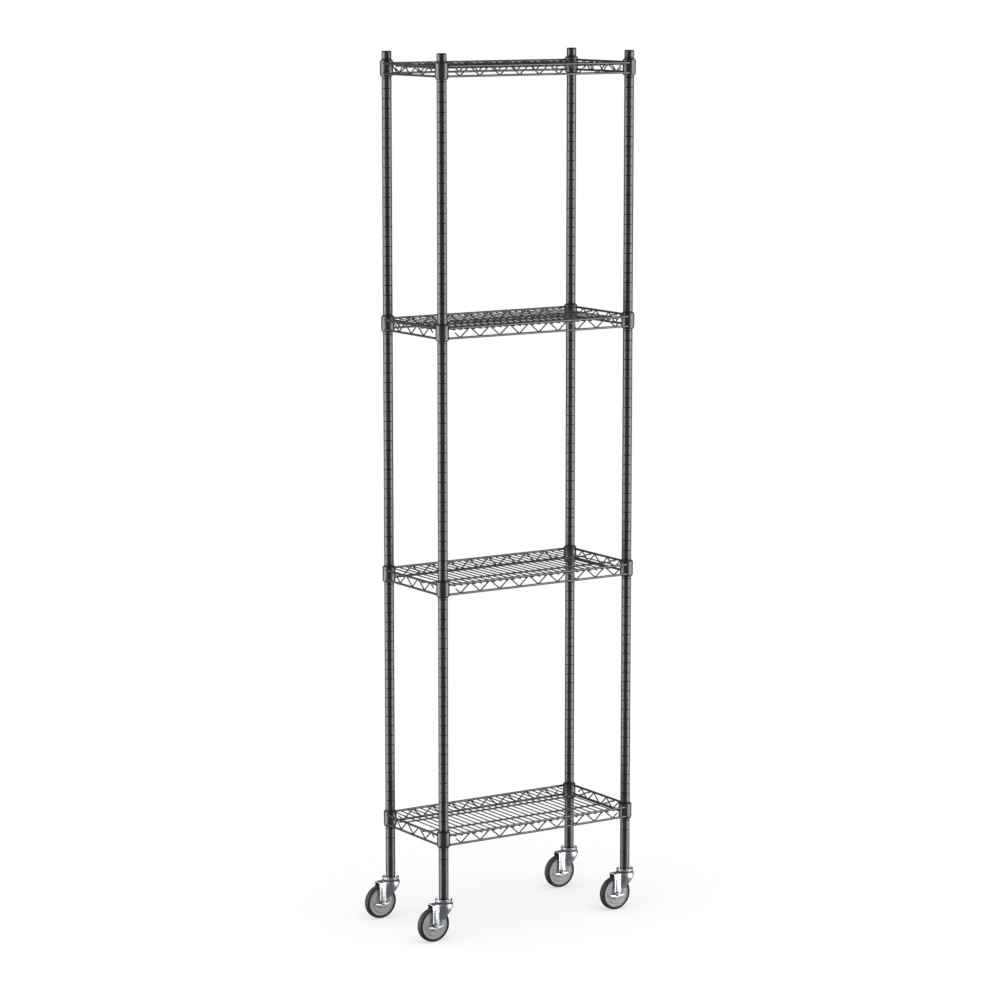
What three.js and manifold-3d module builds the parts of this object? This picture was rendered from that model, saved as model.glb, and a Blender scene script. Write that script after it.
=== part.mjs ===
// Mobile wire shelving rack: four round posts, four wire shelves held on split sleeves,
// and four swivel stem casters.  Millimetres, +Z up, long side along X, front towards -Y.
import * as THREE from 'three';
import { mergeVertices } from 'three/addons/utils/BufferGeometryUtils.js';
import Module from 'manifold-3d';

// ---------------------------------------------------------------- driving dimensions
const INCH = 25.4;
const GAP = 0.3;                    // clearance between pieces that touch
const WELD = 0.4;                   // depth to which welded wires sink into each other

// posts, and the grooves in which the shelves sit
const POST_SPACING_X = 574;         // centre to centre along the long side
const POST_SPACING_Y = 268;         // centre to centre along the short side
const POST_OVERALL = 86 * INCH;     // tube and cap together
const POST_RADIUS = INCH / 2;
const POST_WALL = 1.3;
const GROOVE_PITCH = INCH;
const FIRST_GROOVE = 107;           // above the lower end of the tube
const GROOVE_END_ROOM = 7;          // least room between a groove and the top of the cap
const SHELF_COUNT = 4;
const LOWEST_SHELF_GROOVE = 2;      // grooves are counted from zero at the lowest
const GROOVES_ABOVE_SHELVES = 1;    // grooves left free above the top shelf's

// post caps
const CAP_HEAD = 3;
const CAP_PLUG_DEPTH = 14;

// shelf collars and the split sleeves inside them
const COLLAR_WALL = 2.05;           // where the lower lip starts
const COLLAR_BELOW_TRUSS = 8.1;     // lower frame wire down to the lower end of the collar
const COLLAR_LIP = 6.5;             // height of the drawn-in lower lip
const COLLAR_LIP_WALL = 1.5;
const SLEEVE_WALL_TOP = 1.2;
const SLEEVE_WALL_BOTTOM = 1.9;
const SLEEVE_STAND = 3;             // how far the sleeve shows above its collar
const SLEEVE_SLIT = 1.6;

// shelf wires
const FRAME_WIRE_RADIUS = 3;
const SNAKE_WIRE_RADIUS = 1.8;
const DECK_WIRE_RADIUS = 1.5;
const SUPPORT_WIRE_RADIUS = 2.2;
const TOP_WIRE_DROP = 7.5;          // collar top down to the upper frame wire
const TRUSS_HEIGHT = INCH;          // between the upper and lower frame wires
const FRAME_WIRE_LAP = 2.25;        // how far the frame wires sink into the collars
const DECK_WIRE_OVERHANG = 4;       // deck wires past the middle of the frame wires
const DECK_PITCH = 20;
const DECK_MARGIN = 27;             // least room between a deck wire and the post centres
const SNAKE_PITCH = 60;
const SNAKE_MARGIN = 44;            // least room between a full bend and the post centres
const SUPPORT_SPACING = 116;        // between the two lengthwise support wires

// casters
const WHEEL_RADIUS = 45;
const TYRE_WIDTH = 19;
const TYRE_THICKNESS = 7.5;
const TYRE_SHOULDER = 3;
const WEB_RECESS = 2;               // wheel core face below the tyre side
const HUB_RADIUS = 12;
const TRAIL = 32;                   // swivel axis to wheel axle
const WHEEL_HEADROOM = 10;          // tyre to fork top
const SWIVEL_ROOM = 10;             // fork top to the lower end of the post
const FORK_RADIUS = 25;
const FORK_WALL = 2.5;
const LEG_HALF_LENGTH = 9;          // of the flat leg, either side of the axle
const LEG_CLEARANCE = 1.4;          // tyre side to the inner face of the leg
const BRACE_AHEAD = 16;             // start of the slanted lower edge, ahead of the axle
const BRACE_ABOVE = 9;              // and above it
const FORK_SKIRT = 3;               // depth of the fork's front edge
const RIB_WIDTH = 9;
const RIB_PROUD = 1.8;
const RIB_TOP = 40;                 // above the axle
const FOOT_HALF_SPAN = 24;          // crescent foot of the leg
const FOOT_DEPTH = 14;
const FOOT_HOLLOW = 5;
const FOOT_PROUD = 1.6;
const RACEWAY_RADIUS = 22.7;
const RACEWAY_FLOOR_RADIUS = 19.5;
const RACEWAY_WALL = 1.8;
const BALL_GAP = 1.2;               // between the raceway and the fork
const STEM_RADIUS = 6;
const STEM_REACH = 45;              // above the lower end of the post
const KINGPIN_RADIUS = 5;
const KINGPIN_HEAD_RADIUS = 8;
const KINGPIN_HEAD = 2.6;
const INSERT_LENGTH = 36;
const INSERT_FLANGE = 1.2;
const AXLE_RADIUS = 4;
const AXLE_HEAD_RADIUS = 7;
const AXLE_HEAD = 4.5;
const AXLE_NUT = 5;
const AXLE_END = 1;                 // bolt end past the nut

// facets: round shapes that nest in each other share one count
const ROUND_SIDES = 12;
const WHEEL_SIDES = 24;
const HEX_SIDES = 6;
const FRAME_WIRE_SIDES = 6;
const THIN_WIRE_SIDES = 4;
const ARC_STEPS = 5;

// ---------------------------------------------------------------- derived dimensions
const FORK_TOP = 2 * WHEEL_RADIUS + WHEEL_HEADROOM;
const POST_FOOT = FORK_TOP + SWIVEL_ROOM;
const CAP_SEAT = POST_FOOT + POST_OVERALL - CAP_HEAD;
const TUBE_BORE = POST_RADIUS - POST_WALL;
const SLEEVE_BORE = POST_RADIUS + GAP;
const COLLAR_BORE_TOP = SLEEVE_BORE + SLEEVE_WALL_TOP + GAP;
const COLLAR_BORE_BOTTOM = SLEEVE_BORE + SLEEVE_WALL_BOTTOM + GAP;
const COLLAR_RADIUS = COLLAR_BORE_BOTTOM + COLLAR_WALL;
const COLLAR_HEIGHT = TOP_WIRE_DROP + TRUSS_HEIGHT + COLLAR_BELOW_TRUSS;
const FRAME_WIRE_OFFSET = COLLAR_RADIUS - FRAME_WIRE_LAP;   // outside the post centres
const LEG_INNER = TYRE_WIDTH / 2 + LEG_CLEARANCE;
const LEG_OUTER = LEG_INNER + FORK_WALL;
const LEG_SEAT = LEG_OUTER + Math.max(FOOT_PROUD, RIB_PROUD) + GAP;
const CORNERS = [
  { name: 'front_left', sx: -1, sy: -1 },
  { name: 'front_right', sx: 1, sy: -1 },
  { name: 'back_left', sx: -1, sy: 1 },
  { name: 'back_right', sx: 1, sy: 1 },
];

// ---------------------------------------------------------------- finishes
const finish = (color, roughness, metalness) =>
  new THREE.MeshStandardMaterial({ color, roughness, metalness });
const blackEpoxy = finish(0x333436, 0.45, 0.3);
const blackPlastic = finish(0x1d1e20, 0.6, 0);
const brightZinc = finish(0xc9ccd0, 0.28, 0.9);
const greyPlastic = finish(0x9a9c9f, 0.55, 0);
const darkRubber = finish(0x2a2b2d, 0.7, 0);

// ---------------------------------------------------------------- solid modelling helpers
const wasm = await Module();
wasm.setup();

function toSolid(geometry) {
  const bare = geometry.clone();
  bare.deleteAttribute('normal');
  bare.deleteAttribute('uv');
  const merged = mergeVertices(bare, 1e-4);
  return new wasm.Manifold(new wasm.Mesh({
    numProp: 3,
    vertProperties: new Float32Array(merged.attributes.position.array),
    triVerts: new Uint32Array(merged.index.array),
  }));
}

function toGeometry(solid) {
  const result = solid.getMesh();
  const geometry = new THREE.BufferGeometry();
  geometry.setAttribute('position', new THREE.BufferAttribute(new Float32Array(result.vertProperties), 3));
  geometry.setIndex(new THREE.BufferAttribute(new Uint32Array(result.triVerts), 1));
  geometry.computeVertexNormals();
  return geometry;
}

const join = (...geometries) => toGeometry(geometries.map(toSolid).reduce((sum, next) => sum.add(next)));
const common = (a, b) => toGeometry(toSolid(a).intersect(toSolid(b)));
const cut = (geometry, ...tools) =>
  toGeometry(tools.reduce((rest, tool) => rest.subtract(toSolid(tool)), toSolid(geometry)));

// Points of a profile, closed on itself unless it starts and ends on the axis.
function closedProfile(profile) {
  const points = profile.map(([radius, along]) => new THREE.Vector2(radius, along));
  return profile[0][0] > 0 ? [...points, points[0]] : points;
}

// A profile of [radius, height] pairs turned about the Z axis.
const turned = (profile, sides = ROUND_SIDES) =>
  new THREE.LatheGeometry(closedProfile(profile), sides).rotateX(Math.PI / 2);

// A profile of [radius, offset] pairs turned about the Y axis, with a flat facet lowest.
function turnedAcross(profile, sides) {
  const toFlats = 1 / Math.cos(Math.PI / sides);
  const scaled = profile.map(([radius, along]) => [radius * toFlats, along]);
  return new THREE.LatheGeometry(closedProfile(scaled), sides).rotateY(Math.PI / sides);
}

const ring = (inner, outer, low, high) => [[inner, low], [outer, low], [outer, high], [inner, high]];

// A polygon with the area of a round wire, and how far its flats lie from the middle.
const polygonRadius = (radius, sides) =>
  radius * Math.sqrt(2 * Math.PI / (sides * Math.sin(2 * Math.PI / sides)));
const flatReach = (radius, sides) => polygonRadius(radius, sides) * Math.cos(Math.PI / sides);

// A straight wire along X or Y between two points, flat side up.
function wire(radius, sides, from, to) {
  const start = new THREE.Vector3(...from);
  const end = new THREE.Vector3(...to);
  const corner = polygonRadius(radius, sides);
  const shape = new THREE.CylinderGeometry(corner, corner, start.distanceTo(end), sides);
  shape.rotateY(Math.PI / sides);
  if (from[1] === to[1]) shape.rotateZ(-Math.PI / 2);
  return shape.translate(...start.add(end).multiplyScalar(0.5).toArray());
}

// A round bore or pin across the caster, along Y.
const crossPin = (radius, halfLength, sides = ROUND_SIDES) =>
  turnedAcross([[0, -halfLength], [radius, -halfLength], [radius, halfLength], [0, halfLength]], sides);

// An outline in the X-Z plane given thickness along Y.
function plate(shape, fromY, toY) {
  const slab = new THREE.ExtrudeGeometry(
    shape, { depth: toY - fromY, bevelEnabled: false, curveSegments: ARC_STEPS });
  return slab.rotateX(Math.PI / 2).translate(0, toY, 0);
}

// A zigzag route with one section at each corner, all square to the line between its ends.
class ZigzagRoute extends THREE.Curve {
  constructor(corners) {
    super();
    this.corners = corners;
  }

  getPoint(t) {
    return this.corners[Math.round(t * (this.corners.length - 1))].clone();
  }

  getPointAt(t) {
    return this.getPoint(t);
  }

  getTangentAt() {
    return this.corners.at(-1).clone().sub(this.corners[0]).normalize();
  }
}

function squareSection(halfHeight, halfWidth) {
  const corners = [[-1, -1], [1, -1], [1, 1], [-1, 1]];
  return new THREE.Shape(corners.map(([x, y]) => new THREE.Vector2(x * halfHeight, y * halfWidth)));
}

function part(name, geometry, material) {
  const mesh = new THREE.Mesh(geometry, material);
  mesh.name = name;
  return mesh;
}

// ---------------------------------------------------------------- posts and caps
const postTube = () => turned(ring(TUBE_BORE, POST_RADIUS, POST_FOOT, CAP_SEAT - GAP));

function capShape() {
  const plug = TUBE_BORE - GAP;
  const low = CAP_SEAT - CAP_PLUG_DEPTH;
  const top = CAP_SEAT + CAP_HEAD;
  return turned([[0, low], [plug, low], [plug, CAP_SEAT], [POST_RADIUS, CAP_SEAT], [POST_RADIUS, top], [0, top]]);
}

// ---------------------------------------------------------------- shelves and sleeves
// Heights are measured from the top of the collars.
const lipTop = -COLLAR_HEIGHT + COLLAR_LIP;
const topWireHeight = -TOP_WIRE_DROP;
const lowWireHeight = topWireHeight - TRUSS_HEIGHT;
const frameReach = flatReach(FRAME_WIRE_RADIUS, FRAME_WIRE_SIDES);
const deckReach = flatReach(DECK_WIRE_RADIUS, THIN_WIRE_SIDES);
const snakeReach = flatReach(SNAKE_WIRE_RADIUS, THIN_WIRE_SIDES);
const supportReach = flatReach(SUPPORT_WIRE_RADIUS, THIN_WIRE_SIDES);
const deckHeight = topWireHeight - frameReach - deckReach + WELD;
const supportHeight = deckHeight - deckReach - supportReach - GAP;
const frameCorner = polygonRadius(FRAME_WIRE_RADIUS, FRAME_WIRE_SIDES);
const snakeOffset = FRAME_WIRE_OFFSET - frameCorner - snakeReach - GAP;
const snakeWeldStep = GAP + WELD;   // the end bends reach out to the frame wires and are welded there

const collar = () => turned([
  [SLEEVE_BORE, -COLLAR_HEIGHT], [SLEEVE_BORE + COLLAR_LIP_WALL, -COLLAR_HEIGHT],
  [COLLAR_RADIUS, lipTop], [COLLAR_RADIUS, 0], [COLLAR_BORE_TOP, 0], [COLLAR_BORE_BOTTOM, lipTop],
]);

// The split sleeve's slit faces the middle of the rack.
function sleeve(slitAngle) {
  const low = lipTop + GAP;
  const body = turned([
    [SLEEVE_BORE, low], [SLEEVE_BORE + SLEEVE_WALL_BOTTOM, low],
    [SLEEVE_BORE + SLEEVE_WALL_TOP, SLEEVE_STAND], [SLEEVE_BORE, SLEEVE_STAND],
  ]);
  const slit = new THREE.BoxGeometry(COLLAR_RADIUS, SLEEVE_SLIT, 2 * COLLAR_HEIGHT);
  return cut(body, slit.translate(COLLAR_RADIUS / 2, 0, 0).rotateZ(slitAngle));
}

// The frame wires lap the outside of the collars and stop short of their bores.
function frameWires() {
  const inner = FRAME_WIRE_OFFSET - frameCorner;
  const setback = Math.sqrt(Math.max(0, COLLAR_BORE_BOTTOM ** 2 - inner ** 2)) + GAP;
  const endX = POST_SPACING_X / 2 - setback;
  const endY = POST_SPACING_Y / 2 - setback;
  const sideX = POST_SPACING_X / 2 + FRAME_WIRE_OFFSET;
  const sideY = POST_SPACING_Y / 2 + FRAME_WIRE_OFFSET;
  return [topWireHeight, lowWireHeight].flatMap((z) => [-1, 1].flatMap((side) => [
    wire(FRAME_WIRE_RADIUS, FRAME_WIRE_SIDES, [-endX, side * sideY, z], [endX, side * sideY, z]),
    wire(FRAME_WIRE_RADIUS, FRAME_WIRE_SIDES, [side * sideX, -endY, z], [side * sideX, endY, z]),
  ]));
}

// A snake wire along a side: full bends at the pitch, then a half leg at each end.
// place(along, height, outwards) puts a corner on its side of the shelf.
function snakeWire(postSpacing, endsHigh, place) {
  const bends = Math.floor((postSpacing - 2 * SNAKE_MARGIN) / SNAKE_PITCH);
  const middle = (topWireHeight + lowWireHeight) / 2;
  const endHeight = endsHigh ? topWireHeight : lowWireHeight;
  const otherHeight = endsHigh ? lowWireHeight : topWireHeight;
  const first = -bends * SNAKE_PITCH / 2;
  const corners = [[first - SNAKE_PITCH / 4, middle, 0]];
  for (let i = 0; i <= 2 * bends; i += 1) {
    const welded = i === 0 || i === 2 * bends;
    corners.push([
      first + i * SNAKE_PITCH / 2, i % 2 ? otherHeight : endHeight, welded ? snakeWeldStep : 0]);
  }
  corners.push([-first + SNAKE_PITCH / 4, middle, 0]);
  const lean = Math.hypot(1, TRUSS_HEIGHT / (SNAKE_PITCH / 2));
  const section = squareSection(snakeReach * lean, snakeReach);
  const route = new ZigzagRoute(corners.map((corner) => place(...corner)));
  return new THREE.ExtrudeGeometry(section, { steps: corners.length - 1, extrudePath: route });
}

const snakeWires = () => [-1, 1].flatMap((side) => [
  snakeWire(POST_SPACING_X, false,
    (along, z, out) => new THREE.Vector3(along, side * (POST_SPACING_Y / 2 + snakeOffset + out), z)),
  snakeWire(POST_SPACING_Y, true,
    (along, z, out) => new THREE.Vector3(side * (POST_SPACING_X / 2 + snakeOffset + out), along, z)),
]);

function deckWires() {
  const pitches = Math.floor((POST_SPACING_X - 2 * DECK_MARGIN) / DECK_PITCH);
  const end = POST_SPACING_Y / 2 + FRAME_WIRE_OFFSET + DECK_WIRE_OVERHANG;
  const wires = [];
  for (let i = 0; i <= pitches; i += 1) {
    const x = (i - pitches / 2) * DECK_PITCH;
    wires.push(wire(DECK_WIRE_RADIUS, THIN_WIRE_SIDES, [x, -end, deckHeight], [x, end, deckHeight]));
  }
  return wires;
}

// The support wires run close under the deck and rise at their ends into the side frame wires.
function supportWires() {
  const end = POST_SPACING_X / 2 + FRAME_WIRE_OFFSET;
  const rise = topWireHeight - supportHeight;
  const section = squareSection(supportReach, supportReach);
  return [-1, 1].map((side) => {
    const corners = [[-end, rise], [-end + rise, 0], [end - rise, 0], [end, rise]];
    const route = new ZigzagRoute(corners.map(([x, up]) =>
      new THREE.Vector3(x, side * SUPPORT_SPACING / 2, supportHeight + up)));
    return new THREE.ExtrudeGeometry(section, { steps: corners.length - 1, extrudePath: route });
  });
}

const postPlaces = () => CORNERS.map(({ sx, sy }) => [sx * POST_SPACING_X / 2, sy * POST_SPACING_Y / 2]);

const shelfShape = () => join(
  ...frameWires(), ...snakeWires(), ...deckWires(), ...supportWires(),
  ...postPlaces().map(([x, y]) => collar().translate(x, y, 0)));

// ---------------------------------------------------------------- casters
// The swivel axis is Z, heights are measured from the floor, and the wheel trails towards -X.
function racewayShape() {
  const low = FORK_TOP + BALL_GAP;
  const top = POST_FOOT - GAP;
  const shoulder = low + RACEWAY_RADIUS - RACEWAY_FLOOR_RADIUS;
  const seat = POST_FOOT - INSERT_FLANGE - 2 * GAP;
  return turned([
    [STEM_RADIUS + GAP, low], [RACEWAY_FLOOR_RADIUS, low], [RACEWAY_RADIUS, shoulder],
    [RACEWAY_RADIUS, top], [RACEWAY_RADIUS - RACEWAY_WALL, top],
    [RACEWAY_FLOOR_RADIUS - RACEWAY_WALL, low + RACEWAY_WALL], [POST_RADIUS, seat], [STEM_RADIUS + GAP, seat],
  ]);
}

function insertShape() {
  const bore = STEM_RADIUS + GAP;
  const seat = POST_FOOT - GAP;
  return turned([
    [bore, seat - INSERT_FLANGE], [POST_RADIUS, seat - INSERT_FLANGE], [POST_RADIUS, seat],
    [TUBE_BORE - GAP, seat], [TUBE_BORE - GAP, seat + INSERT_LENGTH], [bore, seat + INSERT_LENGTH],
  ]);
}

// The stem runs up into the post; its lower end is the kingpin, headed under the fork's top.
function stemShape() {
  const plateUnder = FORK_TOP - FORK_WALL - GAP;
  return turned([
    [0, plateUnder - KINGPIN_HEAD], [KINGPIN_HEAD_RADIUS, plateUnder - KINGPIN_HEAD],
    [KINGPIN_HEAD_RADIUS, plateUnder], [KINGPIN_RADIUS, plateUnder], [KINGPIN_RADIUS, FORK_TOP + GAP],
    [STEM_RADIUS, FORK_TOP + GAP], [STEM_RADIUS, POST_FOOT + STEM_REACH], [0, POST_FOOT + STEM_REACH],
  ]);
}

// Seen from above: round about the swivel axis, with parallel legs behind it.
function hoodOutline(radius, halfWidth, tail) {
  const spread = Math.PI - Math.asin(halfWidth / radius);
  const outline = new THREE.Shape();
  outline.moveTo(-tail, halfWidth);
  outline.lineTo(-tail, -halfWidth);
  outline.absarc(0, 0, radius, -spread, spread, false);
  return outline;
}

const hood = (radius, halfWidth, tail, top) => new THREE.ExtrudeGeometry(
  hoodOutline(radius, halfWidth, tail), { depth: top, bevelEnabled: false, curveSegments: ARC_STEPS });

// Seen from the side: a leg down to the round boss at the axle, braced forwards to the swivel.
function sideOutline() {
  const above = FORK_TOP + 1;
  const ahead = FORK_RADIUS + 1;
  const outline = new THREE.Shape();
  outline.moveTo(ahead, above);
  outline.lineTo(-TRAIL - LEG_HALF_LENGTH, above);
  outline.absarc(-TRAIL, WHEEL_RADIUS, LEG_HALF_LENGTH, Math.PI, 2 * Math.PI, false);
  outline.lineTo(-TRAIL + LEG_HALF_LENGTH, WHEEL_RADIUS + BRACE_ABOVE / 2);
  outline.lineTo(-TRAIL + BRACE_AHEAD, WHEEL_RADIUS + BRACE_ABOVE);
  outline.lineTo(ahead, FORK_TOP - FORK_SKIRT);
  return outline;
}

function ribOutline() {
  const half = RIB_WIDTH / 2;
  const outline = new THREE.Shape();
  outline.moveTo(-TRAIL - half, WHEEL_RADIUS);
  outline.lineTo(-TRAIL + half, WHEEL_RADIUS);
  outline.absarc(-TRAIL, WHEEL_RADIUS + RIB_TOP - half, half, 0, Math.PI, false);
  return outline;
}

// A crescent under the axle between two arcs that meet at its pointed ends.
function footOutline() {
  const arc = (depth) => {
    const radius = (FOOT_HALF_SPAN ** 2 + depth ** 2) / (2 * depth);
    return { radius, centre: WHEEL_RADIUS - depth + radius, half: Math.asin(FOOT_HALF_SPAN / radius) };
  };
  const lower = arc(FOOT_DEPTH);
  const upper = arc(FOOT_HOLLOW);
  const down = -Math.PI / 2;
  const outline = new THREE.Shape();
  outline.absarc(-TRAIL, lower.centre, lower.radius, down - lower.half, down + lower.half, false);
  outline.absarc(-TRAIL, upper.centre, upper.radius, down + upper.half, down - upper.half, true);
  return outline;
}

// A pressed detail on the outside of one leg, sunk a little into it so that the two are one.
const onLeg = (outline, side, proud) => plate(outline,
  side > 0 ? LEG_OUTER - WELD : -LEG_OUTER - proud,
  side > 0 ? LEG_OUTER + proud : -LEG_OUTER + WELD);

function forkShape() {
  const shell = cut(
    hood(FORK_RADIUS, LEG_OUTER, TRAIL + LEG_HALF_LENGTH, FORK_TOP),
    hood(FORK_RADIUS - FORK_WALL, LEG_INNER, TRAIL + 2 * LEG_HALF_LENGTH, FORK_TOP - FORK_WALL));
  const trimmed = common(shell, plate(sideOutline(), -2 * FORK_RADIUS, 2 * FORK_RADIUS));
  const details = [-1, 1].flatMap((side) => [
    onLeg(ribOutline(), side, RIB_PROUD), onLeg(footOutline(), side, FOOT_PROUD)]);
  const pinHole = turned([
    [0, 0], [KINGPIN_RADIUS + GAP, 0], [KINGPIN_RADIUS + GAP, 2 * FORK_TOP], [0, 2 * FORK_TOP]]);
  const axleHole = crossPin(AXLE_RADIUS + GAP, 2 * FORK_RADIUS).translate(-TRAIL, 0, WHEEL_RADIUS);
  return cut(join(trimmed, ...details), pinHole, axleHole);
}

// The next four are centred on the axle.
const boltShape = () => turnedAcross([
  [0, -LEG_SEAT - AXLE_NUT - AXLE_END], [AXLE_RADIUS, -LEG_SEAT - AXLE_NUT - AXLE_END],
  [AXLE_RADIUS, LEG_SEAT], [AXLE_HEAD_RADIUS, LEG_SEAT],
  [AXLE_HEAD_RADIUS, LEG_SEAT + AXLE_HEAD], [0, LEG_SEAT + AXLE_HEAD],
], ROUND_SIDES);

const nutShape = () => cut(
  turnedAcross([[0, -LEG_SEAT - AXLE_NUT], [AXLE_HEAD_RADIUS, -LEG_SEAT - AXLE_NUT],
    [AXLE_HEAD_RADIUS, -LEG_SEAT], [0, -LEG_SEAT]], HEX_SIDES),
  crossPin(AXLE_RADIUS + GAP, 2 * LEG_SEAT));

function coreShape() {
  const bore = AXLE_RADIUS + GAP;
  const hub = LEG_INNER - GAP;
  const web = TYRE_WIDTH / 2 - WEB_RECESS;
  const outer = WHEEL_RADIUS - TYRE_THICKNESS - GAP;
  return turnedAcross([
    [bore, -hub], [HUB_RADIUS, -hub], [HUB_RADIUS, -web], [outer, -web],
    [outer, web], [HUB_RADIUS, web], [HUB_RADIUS, hub], [bore, hub],
  ], WHEEL_SIDES);
}

function tyreShape() {
  const half = TYRE_WIDTH / 2;
  const bore = WHEEL_RADIUS - TYRE_THICKNESS;
  return turnedAcross([
    [bore, -half], [WHEEL_RADIUS - TYRE_SHOULDER, -half], [WHEEL_RADIUS, -half + TYRE_SHOULDER],
    [WHEEL_RADIUS, half - TYRE_SHOULDER], [WHEEL_RADIUS - TYRE_SHOULDER, half], [bore, half],
  ], WHEEL_SIDES);
}

function caster(name) {
  const wheel = new THREE.Group();
  wheel.position.set(-TRAIL, 0, WHEEL_RADIUS);
  wheel.add(
    part(`axle_bolt_${name}`, boltShape(), brightZinc),
    part(`axle_nut_${name}`, nutShape(), brightZinc),
    part(`wheel_core_${name}`, coreShape(), greyPlastic),
    part(`tyre_${name}`, tyreShape(), darkRubber));
  const group = new THREE.Group();
  group.add(
    part(`stem_${name}`, stemShape(), brightZinc),
    part(`post_insert_${name}`, insertShape(), blackPlastic),
    part(`raceway_${name}`, racewayShape(), brightZinc),
    part(`fork_${name}`, forkShape(), brightZinc),
    wheel);
  return group;
}

// ---------------------------------------------------------------- assembly
// The shelves share the grooves evenly, and a groove sits at the middle of the collar that it holds.
const topGroove = Math.floor((POST_OVERALL - FIRST_GROOVE - GROOVE_END_ROOM) / GROOVE_PITCH);
const shelfStep = Math.floor(
  (topGroove - GROOVES_ABOVE_SHELVES - LOWEST_SHELF_GROOVE) / (SHELF_COUNT - 1));
const shelfHeights = Array.from({ length: SHELF_COUNT }, (_, i) =>
  POST_FOOT + FIRST_GROOVE + (LOWEST_SHELF_GROOVE + i * shelfStep) * GROOVE_PITCH + COLLAR_HEIGHT / 2);
const rack = new THREE.Group();
CORNERS.forEach(({ name, sx, sy }) => {
  const corner = new THREE.Group();
  corner.position.set(sx * POST_SPACING_X / 2, sy * POST_SPACING_Y / 2, 0);
  corner.add(
    part(`post_${name}`, postTube(), blackEpoxy),
    part(`cap_${name}`, capShape(), blackPlastic),
    caster(name));
  shelfHeights.forEach((height, i) => {
    const seat = part(`sleeve_${i + 1}_${name}`, sleeve(Math.atan2(-sy, -sx)), blackPlastic);
    seat.position.z = height;
    corner.add(seat);
  });
  rack.add(corner);
});
const shelf = shelfShape();
shelfHeights.forEach((height, i) => {
  const piece = part(`shelf_${i + 1}`, shelf, blackEpoxy);
  piece.position.z = height;
  rack.add(piece);
});

// The casters trail to one side, so the middle of the whole is not midway between the posts.
rack.position.x = (TRAIL + WHEEL_RADIUS - FORK_RADIUS) / 2;
const group = new THREE.Group();
group.add(rack);

export default group;
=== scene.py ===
"""Looks of the mobile wire shelving rack: grooved posts, wire shelves and swivel casters.

Everything is in metres, +Z up, the long side along X and the front towards -Y.  The places
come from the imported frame; the sizes that give each piece its fine shape are dataclass fields.
"""
from __future__ import annotations

import logging
import math
from collections.abc import Mapping, Sequence
from dataclasses import dataclass, field
from enum import Enum
from typing import Any

import bmesh
import bpy
from mathutils import Matrix, Vector


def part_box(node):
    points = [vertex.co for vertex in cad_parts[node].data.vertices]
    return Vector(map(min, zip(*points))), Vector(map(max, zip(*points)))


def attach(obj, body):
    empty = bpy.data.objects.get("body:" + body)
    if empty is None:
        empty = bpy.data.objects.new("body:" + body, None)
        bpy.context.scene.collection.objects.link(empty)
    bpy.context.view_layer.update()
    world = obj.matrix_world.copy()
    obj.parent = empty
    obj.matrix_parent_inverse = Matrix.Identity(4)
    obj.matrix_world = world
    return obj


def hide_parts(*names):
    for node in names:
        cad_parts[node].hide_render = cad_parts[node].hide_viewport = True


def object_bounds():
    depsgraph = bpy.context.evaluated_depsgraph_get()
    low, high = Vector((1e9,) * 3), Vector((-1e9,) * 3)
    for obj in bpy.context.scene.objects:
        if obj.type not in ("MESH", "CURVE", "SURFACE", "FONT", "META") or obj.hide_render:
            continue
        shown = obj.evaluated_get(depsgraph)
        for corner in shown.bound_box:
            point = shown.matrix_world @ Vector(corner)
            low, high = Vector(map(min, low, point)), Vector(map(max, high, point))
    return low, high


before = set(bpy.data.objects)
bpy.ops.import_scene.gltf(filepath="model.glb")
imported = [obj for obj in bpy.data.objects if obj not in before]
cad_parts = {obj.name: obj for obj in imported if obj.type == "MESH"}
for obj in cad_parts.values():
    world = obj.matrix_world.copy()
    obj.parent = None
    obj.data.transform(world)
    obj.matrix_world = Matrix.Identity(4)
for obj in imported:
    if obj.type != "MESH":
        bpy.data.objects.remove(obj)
CAD_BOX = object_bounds()

LOG = logging.getLogger("rack")
INCH = 0.0254
FULL_TURN = 2 * math.pi
QUARTER_TURN = math.pi / 2
ROUND_STEPS = 48
POST_STEPS = 32
SHARP_ANGLE = math.radians(38)
# Points closer than this are one point, and a point this near to a plane lies in it.
SAME_POINT = 1e-7
# A route that turns by less than this, in radians, runs straight on.
STRAIGHT = 1e-4
# The most of the way to the next corner that a bend takes up.
BEND_ROOM = 0.48
# Room between two pieces that fit into or over each other.
CLEARANCE = 0.0003
# How far down in octaves the noise texture goes, and the values that nearly all of it lies between.
NOISE_DETAIL = 4.0
NOISE_LOW, NOISE_HIGH = 0.3, 0.7
# The wave texture's rings lie this far apart at scale 1.
WAVE_UNIT = math.pi / 10

Profile = Sequence[tuple[float, float]]
Colour = tuple[float, float, float, float]


class Slot(Enum):
    """The record's material slots."""

    EPOXY = "black_epoxy_coat"
    BLACK_PLASTIC = "black_plastic"
    ZINC = "bright_zinc"
    WHEEL_PLASTIC = "grey_wheel_plastic"
    RUBBER = "dark_rubber"


class Corner(Enum):
    """The four corners of the rack, as they end their nodes' names."""

    FRONT_LEFT = "front_left"
    FRONT_RIGHT = "front_right"
    BACK_LEFT = "back_left"
    BACK_RIGHT = "back_right"


class Side(Enum):
    """The two sides across a caster, as signs along Y."""

    FRONT = -1
    BACK = 1


# ------------------------------------------------------------------------------ materials
def linear(code: str) -> Colour:
    """Turn an sRGB colour into the linear one that shaders use.

    Args:
        code: The colour as "#rrggbb".

    Returns:
        Linear red, green and blue, and an alpha of one.
    """
    parts = [int(code[i:i + 2], 16) / 255 for i in (1, 3, 5)]
    red, green, blue = (p / 12.92 if p <= 0.04045 else ((p + 0.055) / 1.055) ** 2.4 for p in parts)
    return red, green, blue, 1.0


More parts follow.
